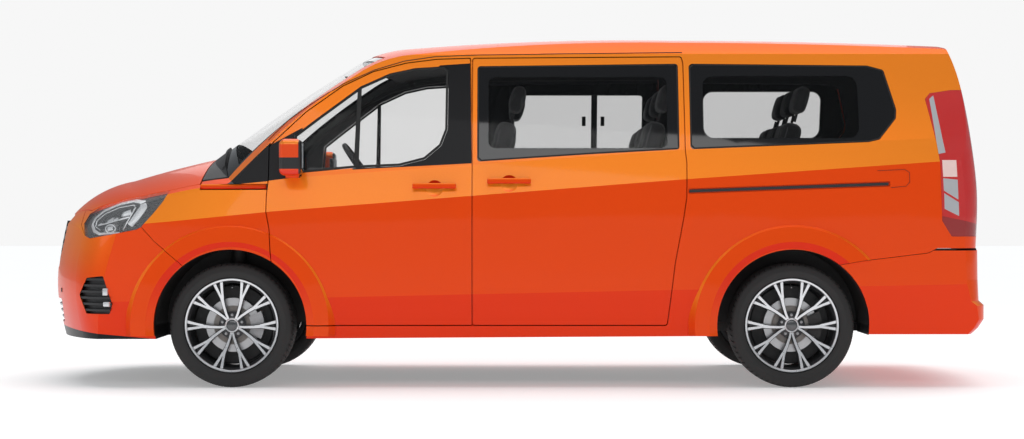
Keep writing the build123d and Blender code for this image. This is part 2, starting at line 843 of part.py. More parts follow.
engine_block = box(-2290, -1720, -330, 330, 420, 1000)
engine_block = fillet(engine_block.edges().filter_by(Axis.Z), 40)
engine_mounts = box(-2060, -1960, -414, 414, 430, 500)
save("engine_block", engine_block + engine_mounts)

# ---------------------------------------------------------------------------
# dashboard and seats
# ---------------------------------------------------------------------------
dash_side = outline(
    [
        (floor_front_x, 700),
        (floor_front_x, 1100),
        (-1300, 1150),
        (-1040, 1165),
        (-970, 1110),
        (-1000, 960),
        (-1110, 860),
        (-1180, 700),
    ],
    18,
)
dashboard = extrude(Plane.XZ.offset(-830) * dash_side, 1660) - pair(front_tub)
console = box(-1180, -930, -130, 130, cabin_floor_z, 760)

SeatRow = namedtuple("SeatRow", "name x places")
seat_rows = [
    SeatRow("front_seats", -420, [-455, 455]),
    SeatRow("middle_seats", 420, [-525, 0, 525]),
    SeatRow("rear_seats", 1210, [-400, 0, 400]),
]
seat_width = {"front_seats": 520, "middle_seats": 480, "rear_seats": 390}
base_top_z = 800.0
cushion_height = 130.0
cushion_depth = 500.0
back_thickness = 120.0
back_height = 620.0
back_lean = 16.0


def seat_block(depth, width, height, radius):
    block = Box(depth, width, height)
    return fillet(block.edges(), radius)


seat_frames = []
for row in seat_rows:
    width = seat_width[row.name]
    cushions = []
    for y in row.places:
        cushion = Pos(row.x - 40, y, base_top_z + cushion_height / 2) * seat_block(
            cushion_depth, width, cushion_height, 36
        )
        hinge = Pos(row.x + 215, y, base_top_z + 100) * Rot(0, back_lean, 0)
        back = hinge * Pos(0, 0, back_height / 2) * seat_block(
            back_thickness, width - 10, back_height, 36
        )
        head = hinge * Pos(10, 0, back_height + 130) * seat_block(90, 250, 170, 30)
        cushions += [cushion - back, back, head]
        base = box(row.x - 230, row.x + 130, y - 95, y + 95, cabin_floor_z, base_top_z)
        post = hinge * Pos(10, 0, back_height + 22) * Cylinder(8, 46)
        posts = [Pos(0, side * 60, 0) * post for side in (-1, 1)]
        seat_frames += [base, *[p - back - head for p in posts]]
    save(row.name, loose(*cushions))
save("seat_frames", loose(*seat_frames))

# ---------------------------------------------------------------------------
# wheels, drawn for the left side round the origin, the outer face towards -Y
# ---------------------------------------------------------------------------
half_tyre = tyre_width / 2
lip_radius = 259.0
barrel_radius = 240.0
barrel_wall = 12.0
lip_y = 103.0
spoke_outer_y = 90.0
spoke_inner_y = 56.0
hub_radius = 72.0
lug_circle = 56.0
lug_radius = 10.0
cap_radius = 32.0
disc_radius = 150.0
disc_y0 = 6.0
disc_y1 = 34.0


def turned(points):
    """A ring from its half section: radius, then distance outwards."""
    face = make_face(Polyline(*[(r, -y) for r, y in points], close=True))
    return revolve(face, Axis.Y)


# distance from the wheel axis, distance from the middle of the tread
tyre_section = [
    (barrel_radius, 95.0),
    (lip_radius + 1, 95.0),
    (lip_radius + 14, 108.0),
    (lip_radius + 38, half_tyre),
    (tyre_radius - 32, 112.0),
    (tyre_radius - 13, 103.0),
    (tyre_radius - 2, 84.0),
    (tyre_radius, 50.0),
]


def tyre_shape():
    other_wall = [(radius, -y) for radius, y in reversed(tyre_section)]
    return turned(tyre_section + other_wall)


SpokePoint = namedtuple("SpokePoint", "radius turn")
spoke_count = 10
pair_turn = 12.0
spoke_outline = [
    SpokePoint(62, 14.5),
    SpokePoint(150, 5.5),
    SpokePoint(barrel_radius - 4, 11.0),
    SpokePoint(barrel_radius - 4, 7.0),
    SpokePoint(170, 0.0),
    SpokePoint(barrel_radius - 4, -7.0),
    SpokePoint(barrel_radius - 4, -11.0),
    SpokePoint(150, -5.5),
    SpokePoint(62, -14.5),
]


def spoke(index):
    """One forked spoke; neighbours lean together at the hub in five pairs."""
    lean = pair_turn if index % 2 else -pair_turn
    points = []
    for p in spoke_outline:
        turn = math.radians(index * 36 + p.turn + (lean if p.radius < 100 else 0))
        points.append((p.radius * math.cos(turn), p.radius * math.sin(turn)))
    face = make_face(Polyline(*points, close=True))
    return extrude(Plane.XZ.offset(spoke_inner_y) * face, spoke_outer_y - spoke_inner_y)


def rim_shape():
    inner = barrel_radius - barrel_wall
    rim = turned(
        [
            (inner, -lip_y), (lip_radius, -lip_y), (lip_radius, -95), (barrel_radius, -95),
            (barrel_radius, 95), (lip_radius, 95), (lip_radius, lip_y), (inner, lip_y),
        ]
    )
    rim = rim + turned([(0, 40), (hub_radius, 40), (hub_radius, 84), (0, 84)])
    for index in range(spoke_count):
        rim = rim + spoke(index)
    for k in range(5):
        turn = math.radians(90 + 72 * k)
        x, z = lug_circle * math.cos(turn), lug_circle * math.sin(turn)
        rim = rim - cylinder_y(lug_radius + 5, x, z, -200, -66)
        rim = rim + cylinder_y(lug_radius, x, z, -80, -60)
    return rim + turned([(0, 80), (cap_radius, 80), (cap_radius, 92), (0, 92)])


def disc_shape():
    ring = turned([(95, disc_y0), (disc_radius, disc_y0), (disc_radius, disc_y1), (95, disc_y1)])
    hat = turned([(33.5, 28), (100, 28), (100, 40), (33.5, 40)]) + turned([(33.5, 12), (45, 12), (45, 30), (33.5, 30)])
    return ring + hat


tyre, rim, disc = tyre_shape(), rim_shape(), disc_shape()
for axle_name, axle_x in (("front", front_axle_x), ("rear", rear_axle_x)):
    for part_name, shape in (("tyre", tyre), ("rim", rim), ("brake_disc", disc)):
        left = Pos(axle_x, -wheel_y, axle_z) * shape
        save(f"{axle_name}_left_{part_name}", left)
        save(f"{axle_name}_right_{part_name}", other_side(left))

# ---------------------------------------------------------------------------
# hub carriers that steer, with hub spindle and brake caliper
# ---------------------------------------------------------------------------
knuckle = turned([(0, -52), (58, -52), (58, 2), (33, 2), (33, 26), (0, 26)])
caliper = turned(
    [(100, -30), (disc_radius + 24, -30), (disc_radius + 24, 50), (100, 50),
     (100, disc_y1 + 4), (disc_radius + 4, disc_y1 + 4), (disc_radius + 4, disc_y0 - 4),
     (100, disc_y0 - 4)]
)
wedge = make_face(Polyline((0, 0), (300, -150), (300, 150), close=True))
caliper = caliper & extrude(Plane.XZ.offset(-100) * wedge, 200)
bracket = box(40, 130, 18, 34, -40, 40)
ball_arm = box(-24, 24, 14, 50, -159.5, -40)
top_arm = box(-28, 28, 14, 50, 40, 124.5)
knuckle = knuckle + caliper + bracket + ball_arm + top_arm
knuckle_left = Pos(front_axle_x, -wheel_y, axle_z) * knuckle
save("knuckle_left", knuckle_left)
save("knuckle_right", other_side(knuckle_left))

# ---------------------------------------------------------------------------
# front suspension: subframe, lower arms, struts
# ---------------------------------------------------------------------------
subframe = box(-1800, floor_front_x - 60, -400, 400, 230, 300)
subframe = subframe - box(-1700, -1500, -260, 260, 200, 320)
arm_face = make_face(
    Polyline(
        (front_axle_x - 24, -738), (front_axle_x + 24, -738), (front_axle_x + 34, -630),
        (front_axle_x + 190, -395), (front_axle_x + 110, -395), (front_axle_x, -560),
        (front_axle_x - 110, -395), (front_axle_x - 180, -395), (front_axle_x - 34, -630),
        close=True,
    )
)
lower_arm = plan_prism(arm_face, 150, 185)
arm_mount = box(front_axle_x - 190, front_axle_x + 190, -420, -380, 150, 232)
frame_post = box(-1790, -1740, -480, -415, 300, 400) + box(-1790, -1740, -480, -380, 260, 300)
rear_post = box(-1440, -1392, -480, -415, 300, 400) + box(-1440, -1392, -480, -380, 260, 300)
strut = cylinder_z(26, front_axle_x, -590, 480, 640) + cylinder_z(46, front_axle_x, -590, 640, 762)
strut_foot = box(front_axle_x - 20, front_axle_x + 20, -760, -580, 470, 500)
front_suspension = subframe + pair(lower_arm + arm_mount + frame_post + rear_post)
save("front_suspension", loose(front_suspension, pair(strut + strut_foot)))

# ---------------------------------------------------------------------------
# rear axle: beam, trailing arms, springs, stub axles
# ---------------------------------------------------------------------------
beam = box(rear_axle_x - 60, rear_axle_x + 60, -480, 480, 260, 360)
stub = turned([(0, -240), (60, -240), (60, 2), (33, 2), (33, 26), (0, 26)])
stub = Pos(rear_axle_x, -wheel_y, axle_z) * (stub + caliper + bracket + box(40, 130, 18, 60, -40, 40))
beam_arm = box(rear_axle_x - 45, rear_axle_x + 45, -640, -470, 280, under_z)
trailing_arm = box(900, rear_axle_x, -460, -400, 290, 340) + box(900, 960, -460, -412, 290, 380)
spring = cylinder_z(55, rear_axle_x, -330, 358, floor_under_z)
damper = rod((rear_axle_x + 90, -560, 300), (rear_axle_x + 190, -470, 500), 24)
rear_axle = beam + pair(stub + beam_arm + trailing_arm + spring)
save("rear_axle", rear_axle)

fuel_tank = box(-250, 380, -380, 100, 300, 400)
save("fuel_tank", fillet(fuel_tank.edges(), 25))
exhaust = rod((-1200, 250, 372), (1350, 250, 372), 28)
silencer = box(520, 940, 160, 370, 310, 399)
save("exhaust", exhaust + fillet(silencer.edges().filter_by(Axis.X), 40))

# ---------------------------------------------------------------------------
# steering wheel on its column
# ---------------------------------------------------------------------------
wheel_tilt = 55.0
steer_centre = (-872.0, -455.0, 1200.0)
steer_ring_radius = 190.0
steering = Torus(steer_ring_radius, 15) + Cylinder(58, 40)
for turn in (0, 90, 180):
    steering = steering + Rot(0, 0, turn) * box(40, steer_ring_radius, -18, 18, -10, 8)
steer_place = Pos(*steer_centre) * Rot(0, wheel_tilt, 0)
column_end = 190.0
steering = steering + Pos(0, 0, -column_end / 2) * Cylinder(20, column_end)
save("steering_wheel", steer_place * steering)
column_bore = steer_place * Pos(0, 0, -column_end / 2 - 30) * Cylinder(20.5, column_end + 20)
save("dashboard", dashboard + console - column_bore)

# ---------------------------------------------------------------------------
# door mirrors and handles, wipers, fog lamps
# ---------------------------------------------------------------------------
mirror_head = Pos(-1225, -1068, 1270) * Box(125, 140, 200)
mirror_head = fillet(mirror_head.edges(), 34)
mirror_arm = box(-1262, -1190, -1010, -940, 1160, 1186)
door_mirror = (mirror_head + mirror_arm) - hull
save("mirror_left", door_mirror)
save("mirror_right", other_side(door_mirror))
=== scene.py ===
import json
import math
from collections import namedtuple

import bmesh
import bpy
from mathutils import Matrix, Vector
from mathutils.bvhtree import BVHTree


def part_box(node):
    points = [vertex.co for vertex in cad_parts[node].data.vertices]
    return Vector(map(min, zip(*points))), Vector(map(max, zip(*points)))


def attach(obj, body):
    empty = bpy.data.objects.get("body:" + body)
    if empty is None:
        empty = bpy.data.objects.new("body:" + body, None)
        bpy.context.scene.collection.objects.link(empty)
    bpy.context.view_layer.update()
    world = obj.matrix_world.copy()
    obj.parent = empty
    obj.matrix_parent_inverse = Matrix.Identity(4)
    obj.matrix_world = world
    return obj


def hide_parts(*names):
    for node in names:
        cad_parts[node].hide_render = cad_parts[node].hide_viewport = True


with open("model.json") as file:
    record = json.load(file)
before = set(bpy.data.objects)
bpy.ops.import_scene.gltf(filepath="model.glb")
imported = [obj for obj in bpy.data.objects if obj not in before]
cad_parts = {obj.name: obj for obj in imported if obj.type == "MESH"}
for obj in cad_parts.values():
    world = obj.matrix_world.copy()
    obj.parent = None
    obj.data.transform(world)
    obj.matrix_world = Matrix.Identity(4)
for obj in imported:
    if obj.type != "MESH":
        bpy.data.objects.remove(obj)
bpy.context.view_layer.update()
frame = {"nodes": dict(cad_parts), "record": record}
nodes = frame["nodes"]
node_slot = {part["node"]: part["material_slot"] for part in frame["record"]["subparts"]}

MM = 0.001
SIDES = (("left", -1), ("right", 1))
# axle places in mm: the front and rear axles stand either side of AXLES_MIDDLE
AXLES_MIDDLE = -20.5
HALF_WHEELBASE = 1550.5
AXLE_HEIGHT = 345
ARCH_LINER_RADIUS = 422.5


# ---- shader maths ----
class Wire:
    """One output of a shader node. Sums written on it add Math nodes."""

    def __init__(self, finish, socket):
        self.finish = finish
        self.socket = socket

    def math(self, operation, first, second=0.0):
        return self.finish.node("ShaderNodeMath", {"operation": operation}, {0: first, 1: second})

    def __add__(self, other):
        return self.math("ADD", self, other)

    def __sub__(self, other):
        return self.math("SUBTRACT", self, other)

    def __rsub__(self, other):
        return self.math("SUBTRACT", other, self)

    def __mul__(self, other):
        return self.math("MULTIPLY", self, other)

    def __pow__(self, other):
        return self.math("POWER", self, other)

    def __gt__(self, other):
        return self.math("GREATER_THAN", self, other)

    def __lt__(self, other):
        return self.math("LESS_THAN", self, other)

    def __or__(self, other):
        return self.math("MAXIMUM", self, other)

    def __and__(self, other):
        return self.math("MINIMUM", self, other)

    def __abs__(self):
        return self.math("ABSOLUTE", self)

    __radd__ = __add__
    __rmul__ = __mul__


class Finish:
    """A material while it is put together: one Principled surface and its pattern."""

    def __init__(self, name, **constants):
        self.material = bpy.data.materials.new(name)
        self.material.use_nodes = True
        self.tree = self.material.node_tree
        self.surface = self.tree.nodes["Principled BSDF"]
        for key, value in constants.items():
            label = key.replace("_", " ").title().replace("Ior", "IOR")
            self.surface.inputs[label].default_value = value

    def feed(self, socket, value):
        if isinstance(value, Wire):
            self.tree.links.new(value.socket, socket)
        elif socket.type == "RGBA":
            socket.default_value = (*value, 1.0)
        else:
            socket.default_value = value

    def node(self, kind, settings=None, inputs=None, output=None):
        """Adds a node: its settings first, then the values or links of its inputs."""
        made = self.tree.nodes.new(kind)
        for key, value in (settings or {}).items():
            if key == "stops":
                ramp = made.color_ramp
                while len(ramp.elements) < len(value):
                    ramp.elements.new(0.5)
                for element, (place, shade) in zip(ramp.elements, value):
                    element.position = place
                    element.color = (shade, shade, shade, 1.0)
            else:
                setattr(made, key, value)
        for key, value in (inputs or {}).items():
            if isinstance(key, int):
                socket = made.inputs[key]
            else:
                socket = next(s for s in made.inputs if s.enabled and s.name == key)
            self.feed(socket, value)
        shown = [s for s in made.outputs if s.enabled]
        picked = shown[0] if output is None else next(s for s in shown if s.name == output)
        return Wire(self, picked)

    def set(self, socket, value):
        self.feed(self.surface.inputs[socket], value)

    def place(self):
        return self.node("ShaderNodeTexCoord", output="Object")

    def facing(self):
        return self.node("ShaderNodeTexCoord", output="Normal")

    def axis(self, vector, letter):
        return self.node("ShaderNodeSeparateXYZ", None, {0: vector}, letter)

    def noise(self, scale, detail=3.0, vector=None):
        inputs = {"Vector": vector or self.place(), "Scale": scale, "Detail": detail}
        return self.node("ShaderNodeTexNoise", None, inputs)

    def cells(self, scale, feature="F1", vector=None):
        inputs = {"Vector": vector or self.place(), "Scale": scale}
        return self.node("ShaderNodeTexVoronoi", {"feature": feature}, inputs, "Distance")

    def waves(self, along, scale):
        inputs = {"Vector": self.place(), "Scale": scale}
        return self.node("ShaderNodeTexWave", {"bands_direction": along}, inputs)

    def ramp(self, value, *stops):
        return self.node("ShaderNodeValToRGB", {"stops": stops}, {"Fac": value})

    def soft_step(self, value, low, high):
        inputs = {"Value": value, "From Min": low, "From Max": high}
        return self.node("ShaderNodeMapRange", {"interpolation_type": "SMOOTHSTEP"}, inputs)

    def mix(self, factor, first, second):
        inputs = {"Factor": factor, "A": first, "B": second}
        return self.node("ShaderNodeMix", {"data_type": "RGBA"}, inputs)

    def bump(self, height, depth, strength=1.0):
        """Raises the surface by up to depth metres where height is 1."""
        inputs = {"Height": height, "Distance": depth, "Strength": strength}
        self.set("Normal", self.node("ShaderNodeBump", None, inputs))

    def inside(self, corners, across="X"):
        """1 inside a convex outline of (across, z) corners, given anticlockwise in mm."""
        place = self.place()
        x, z = self.axis(place, across), self.axis(place, "Z")
        covered = None
        for (x0, z0), (x1, z1) in zip(corners, corners[1:] + corners[:1]):
            span_x, span_z = (x1 - x0) * MM, (z1 - z0) * MM
            left_of = (z - z0 * MM) * span_x - (x - x0 * MM) * span_z > 0.0
            covered = left_of if covered is None else covered & left_of
        return covered

    def rounded_box(self, x0, x1, z0, z1, corner):
        """Signed distance, in metres, to a rounded side-view rectangle given in mm."""
        place = self.place()
        middle_x, middle_z = (x0 + x1) / 2 * MM, (z0 + z1) / 2 * MM
        half_x, half_z = ((x1 - x0) / 2 - corner) * MM, ((z1 - z0) / 2 - corner) * MM
        across = (abs(self.axis(place, "X") - middle_x) - half_x) | 0.0
        up = (abs(self.axis(place, "Z") - middle_z) - half_z) | 0.0
        return (across * across + up * up) ** 0.5 - corner * MM


# ---- finishes ----
# orange paint: the lighter tone is a painted highlight for faces that lean up, the deeper tone is a
# painted shade for faces that lean down and also the tone of the darker flakes
ORANGE_PAINTED_HIGHLIGHT = (1.0, 0.30, 0.020)
ORANGE = (0.92, 0.085, 0.0008)
ORANGE_DEEP_SHADE_AND_FLAKE = (0.72, 0.022, 0.0002)
LINING_GREY = (0.035, 0.035, 0.037)
TRIM_BLACK = (0.012, 0.012, 0.013)


def lining_mask(f):
    """1 on faces that look into the cabin, where the trim panels are."""
    place, facing = f.place(), f.facing()
    inward = f.axis(facing, "Y") * f.axis(place, "Y") < -0.2
    ceiling = (f.axis(facing, "Z") < -0.5) & (f.axis(place, "Z") > 1.2)
    return inward | ceiling


def hub_distance(f):
    """Distance, in metres, from the nearer axle in side view."""
    place = f.place()
    x = f.axis(place, "X")
    hub_x = x.math("SIGN", x) * (HALF_WHEELBASE * MM) + AXLES_MIDDLE * MM
    across, up = x - hub_x, f.axis(place, "Z") - AXLE_HEIGHT * MM
    return (across * across + up * up) ** 0.5


def arch_mask(f):
    """1 on the edges and walls round the wheels, which are bare black."""
    inboard = abs(f.axis(f.place(), "Y")) < 0.962
    return (hub_distance(f) < ARCH_LINER_RADIUS * MM) & inboard


def metal_flake(f):
    return f.ramp(f.cells(2600.0), (0.1, 0.0), (0.7, 1.0))


def orange_with_painted_light(f, flake):
    """Metallic orange with painted light: painted shade, deeper, where it leans down, and a painted
    highlight, lighter, where it leans up a little.
    """
    lean = f.axis(f.facing(), "Z")
    # painted shade where the face leans down, then a painted highlight where it leans up a little
    low = f.mix(f.soft_step(lean, -0.30, 0.10), ORANGE_DEEP_SHADE_AND_FLAKE, ORANGE)
    colour = f.mix(f.soft_step(lean, 0.0, 0.30), low, ORANGE_PAINTED_HIGHLIGHT)
    colour = f.mix(f.soft_step(lean, 0.45, 0.90), colour, ORANGE)
    return f.mix(flake * 0.25, colour, ORANGE_DEEP_SHADE_AND_FLAKE)


def painted(name, black_areas=()):
    """Orange with painted shade and painted highlight outside, bare black in the side-view areas, trim
    panels inside.
    """
    f = Finish(name, coat_roughness=0.03, coat_ior=1.45, specular_ior_level=0.12)
    flake = metal_flake(f)
    # the orange holds painted shade and painted highlight, set by how each face leans
    colour = orange_with_painted_light(f, flake)
    lining = lining_mask(f)
    black = arch_mask(f)
    for corners in black_areas:
        black = black | f.inside(corners)
    grain = f.noise(900.0, 4.0)
    colour = f.mix(black, colour, TRIM_BLACK)
    colour = f.mix(lining, colour, LINING_GREY)
    plain = lining | black * 0.6
    f.set("Base Color", colour)
    f.set("Metallic", 0.35 - plain * 0.35)
    f.set("Roughness", 0.40 - flake * 0.08 + lining * 0.35)
    f.set("Coat Weight", 0.28 - (lining | black * 0.8) * 0.28)
    f.bump(lining * grain, 0.0004)
    return f.material


def mirror_shell():
    """Painted cap over a gloss black band, a painted foot, and the mirror glass behind."""
    f = Finish("mirror_shell", coat_weight=0.3, coat_roughness=0.03)
    place, facing = f.place(), f.facing()
    y, z = abs(f.axis(place, "Y")), f.axis(place, "Z")
    band = (z < 1.268) & (z > 1.206)
    pane = (f.axis(facing, "X") > 0.9) & (z > 1.195) & (z < 1.345) & (y > 0.975) & (y < 1.125)
    behind = f.axis(facing, "X") > 0.5
    # the cap's orange holds painted shade and painted highlight, set by how each face leans
    colour = f.mix(band | behind, orange_with_painted_light(f, metal_flake(f)), TRIM_BLACK)
    f.set("Base Color", f.mix(pane, colour, (0.8, 0.8, 0.82)))
    f.set("Metallic", pane * 0.6 + 0.4 - (band | behind) * (1.0 - pane) * 0.4)
    f.set("Roughness", 0.34 - pane * 0.33)
    return f.material


def black_trim():
    f = Finish("black_trim", roughness=0.5)
    grain = f.cells(700.0, "SMOOTH_F1")
    f.set("Base Color", f.mix(f.noise(30.0), (0.010, 0.010, 0.011), (0.022, 0.022, 0.024)))
    f.set("Roughness", 0.42 + grain * 0.2)
    f.bump(grain, 0.00025)
    return f.material


def grille_black():
    f = Finish("grille_black", coat_weight=0.6, coat_roughness=0.06)
    worn = f.noise(14.0)
    f.set("Base Color", f.mix(worn, (0.006, 0.006, 0.007), (0.014, 0.014, 0.016)))
    f.set("Roughness", 0.22 + worn * 0.12)
    return f.material


def tinted(name, tint, alpha, border=None):
    """Glass, opaque black wherever the border mask asks for print."""
    f = Finish(name, ior=1.5)
    smear = f.noise(2.2, 2.0)
    print_mask = border(f) if border else smear * 0.0
    f.set("Base Color", f.mix(print_mask, tint, (0.004, 0.004, 0.005)))
    f.set("Roughness", 0.02 + smear * 0.03)
    f.set("Alpha", print_mask * (1.0 - alpha) + alpha + smear * 0.02)
    return f.material


def printed_around(f, areas):
    """1 outside all the rounded clear areas."""
    nearest = None
    for area in areas:
        reach = f.rounded_box(*area)
        nearest = reach if nearest is None else nearest & reach
    return f.soft_step(nearest, -0.004, 0.004)


def side_window_print(f):
    left = printed_around(f, [(-150, 840, 1325, 1725, 40), (1040, 1900, 1380, 1730, 60)])
    right = printed_around(f, [(-10, 817, 1372, 1726, 34), (1200, 1950, 1453, 1745, 60)])
    on_right = f.axis(f.place(), "Y") > 0.0
    return left * (1.0 - on_right) + right * on_right


def screen_print(f):
    place = f.place()
    x, across = f.axis(place, "X"), abs(f.axis(place, "Y"))
    side = across + x * 0.1402 > 0.592
    top = x - across * across * 0.2265 > -0.905
    base = x - across * across * 0.138 < -1.635
    return side | top | base


def tail_window_print(f):
    clear = [(-600, 1372), (600, 1372), (628, 1420), (590, 1800), (-590, 1800), (-628, 1420)]
    return 1.0 - f.inside(clear, "Y")


def tail_lamp():
    """Red lens with its clear strip, pale reversing window and clear lower windows."""
    f = Finish("tail_lamp", ior=1.49, coat_weight=0.3, coat_roughness=0.02, specular_ior_level=0.2)
    rib = f.waves("Z", 55.0)
    strip = f.inside([(2330, 1292), (2368, 1300), (2319, 1620), (2296, 1600)])
    pale = f.inside([(2352, 1166), (2430, 1166), (2424, 1258), (2346, 1258)])
    upper = f.inside([(2356, 1090), (2436, 1040), (2432, 1150), (2352, 1158)])
    lower = f.inside([(2360, 990), (2440, 950), (2438, 1026), (2358, 1076)])
    foot = f.inside([(2300, 700), (2700, 700), (2700, 876), (2300, 960)])
    red = f.mix(foot, (0.55, 0.004, 0.004), (0.28, 0.002, 0.002))
    colour = f.mix(strip | upper | lower, red, (0.42, 0.43, 0.45))
    colour = f.mix(pale, colour, (0.85, 0.62, 0.58))
    f.set("Base Color", f.mix(rib * 0.05, colour, (0.9, 0.9, 0.9)))
    f.set("Roughness", 0.12 + rib * 0.1)
    f.bump(rib, 0.0004)
    return f.material


def lamp_ruby():
    f = Finish("lamp_ruby", ior=1.49, coat_weight=1.0, coat_roughness=0.03)
    facets = f.cells(160.0)
    f.set("Base Color", f.mix(facets, (0.40, 0.003, 0.003), (0.72, 0.015, 0.010)))
    f.set("Roughness", 0.15 + facets * 0.15)
    return f.material


def lamp_silver():
    """Reflectors and light guides behind the clear lamp covers, bright silver with a faint painted glow
    that stands in for the light they catch.
    """
    # the emission is a painted glow: these parts are not lit
    f = Finish("lamp_silver", roughness=0.25, emission_strength=0.04)
    flute = f.waves("X", 90.0)
    silver = f.mix(flute, (0.50, 0.52, 0.54), (0.78, 0.79, 0.80))
    f.set("Base Color", silver)
    f.set("Emission Color", silver)
    f.set("Metallic", 0.4 + flute * 0.3)
    f.bump(flute, 0.0005)
    return f.material


def tyre_rubber():
    f = Finish("tyre_rubber", ior=1.5)
    dust = f.noise(9.0, 6.0)
    grain = f.noise(520.0, 3.0)
    f.set("Base Color", f.mix(dust, (0.011, 0.011, 0.012), (0.030, 0.029, 0.028)))
    f.set("Roughness", 0.62 + dust * 0.22)
    f.bump(grain, 0.0003)
    return f.material


def alloy():
    """Wheel metal: turned bright where it faces outwards, painted dark in the pockets."""
    f = Finish("alloy", coat_weight=0.5, coat_roughness=0.08)
    mottle = f.noise(60.0, 4.0)
    outward = abs(f.axis(f.facing(), "Y"))
    turned = f.soft_step(outward, 0.45, 0.85)
    bright = f.mix(mottle, (0.66, 0.67, 0.69), (0.80, 0.81, 0.83))
    dark = f.mix(mottle, (0.035, 0.036, 0.040), (0.075, 0.077, 0.082))
    f.set("Base Color", f.mix(turned, dark, bright))
    f.set("Metallic", turned * 0.5 + 0.4)
    f.set("Roughness", 0.34 - turned * 0.1 + mottle * 0.1)
    return f.material


def floor_pan():
    """Black underneath, carpet where it faces up into the cabin."""
    f = Finish("floor_pan")
    place = f.place()
    carpet = (f.axis(f.facing(), "Z") > 0.8) & (f.axis(place, "Z") > 0.55)
    tuft = f.noise(700.0, 4.0)
    f.set("Base Color", f.mix(tuft, (0.010, 0.010, 0.011), (0.034, 0.033, 0.033)))
    f.set("Roughness", 0.55 + carpet * 0.4)
    f.bump(tuft * (carpet * 0.8 + 0.2), 0.0015)
    return f.material


def brake_steel():
    """Turned rings where the pads run, light rust on the hub inside them."""
    f = Finish("brake_steel")
    radius = hub_distance(f)
    lathe = f.noise(900.0, 2.0, f.node("ShaderNodeCombineXYZ", None, {0: radius}))
    swept = f.soft_step(radius, 0.104, 0.112)
    rust = f.noise(40.0, 5.0)
    worn = f.mix(lathe, (0.42, 0.42, 0.43), (0.62, 0.62, 0.63))
    f.set("Base Color", f.mix(swept, f.mix(rust, (0.20, 0.17, 0.15), (0.32, 0.31, 0.30)), worn))
    f.set("Metallic", 0.7 + lathe * 0.2)
    f.set("Roughness", 0.55 - swept * 0.25)
    f.bump(lathe, 0.0002)
    return f.material


def grained(name, dark, light, size, detail, rough, rougher, metal, metal_more, depth, coat, coat_rough):
    """One grain that runs between two shades, with its gloss, metal and depth."""
    f = Finish(name, coat_weight=coat, coat_roughness=coat_rough)
    grain = f.noise(size, detail)
    f.set("Base Color", f.mix(grain, dark, light))
    f.set("Metallic", metal + grain * metal_more)
    f.set("Roughness", rough + grain * rougher)
    if depth:
        f.bump(grain, depth)
    return f.material


def seat_cloth():
    f = Finish("seat_cloth", sheen_weight=0.4, sheen_roughness=0.5)
    weave = (f.waves("Y", 320.0) + f.waves("Z", 320.0)) * 0.5
    wear = f.noise(12.0, 4.0)
    f.set("Base Color", f.mix(weave * 0.7 + wear * 0.3, (0.010, 0.010, 0.011), (0.040, 0.040, 0.043)))
    f.set("Roughness", 0.8 + weave * 0.15)
    f.bump(weave, 0.0005)
    return f.material


def cabin_plastic():
    f = Finish("cabin_plastic", ior=1.46)
    grain = f.cells(420.0, "SMOOTH_F1")
    drift = f.noise(6.0)
    f.set("Base Color", f.mix(drift, (0.016, 0.016, 0.017), (0.034, 0.034, 0.036)))
    f.set("Roughness", 0.55 + grain * 0.2)
    f.bump(grain, 0.0004)
    return f.material


def studio_floor_finish():
    f = Finish("studio_floor", roughness=0.7, specular_ior_level=0.0, emission_strength=0.30)
    f.set("Base Color", f.mix(f.noise(0.8, 2.0), (0.80, 0.80, 0.80), (0.84, 0.84, 0.84)))
    f.set("Emission Color", (1.0, 1.0, 1.0))
    return f.material


# side-view (x, z) areas in mm that are bare black on a painted piece
BLACK_AREAS = {
    "body_paint": (),
    "door_paint": (
        [(-900, 1206), (-239, 1241), (-239, 1803), (-420, 1791), (-900, 1330)],
        [(-1380, 1142), (-1180, 1169), (-1180, 1440), (-1380, 1330)],
    ),
    "pillar_paint": ([(-1600, 1120), (-1355, 1143), (-1355, 1358)],),
    "bumper_paint": ([(-2900, 150), (-1600, 150), (-1600, 236), (-2900, 352)],),
}
DARK_GLASS, CLEAR_GLASS = (0.012, 0.013, 0.014), (0.03, 0.034, 0.034)
Glass = namedtuple("Glass", "tint alpha border")
GLASSES = {
    "window_glass": Glass(DARK_GLASS, 0.13, side_window_print),
    "door_window_glass": Glass(CLEAR_GLASS, 0.07, None),
    "rear_window_glass": Glass(DARK_GLASS, 0.45, tail_window_print),
    "screen_glass": Glass(CLEAR_GLASS, 0.08, screen_print),
    "lamp_clear": Glass((0.75, 0.78, 0.8), 0.04, None),
}
Grain = namedtuple("Grain", "dark light size detail rough rougher metal metal_more depth coat coat_rough")
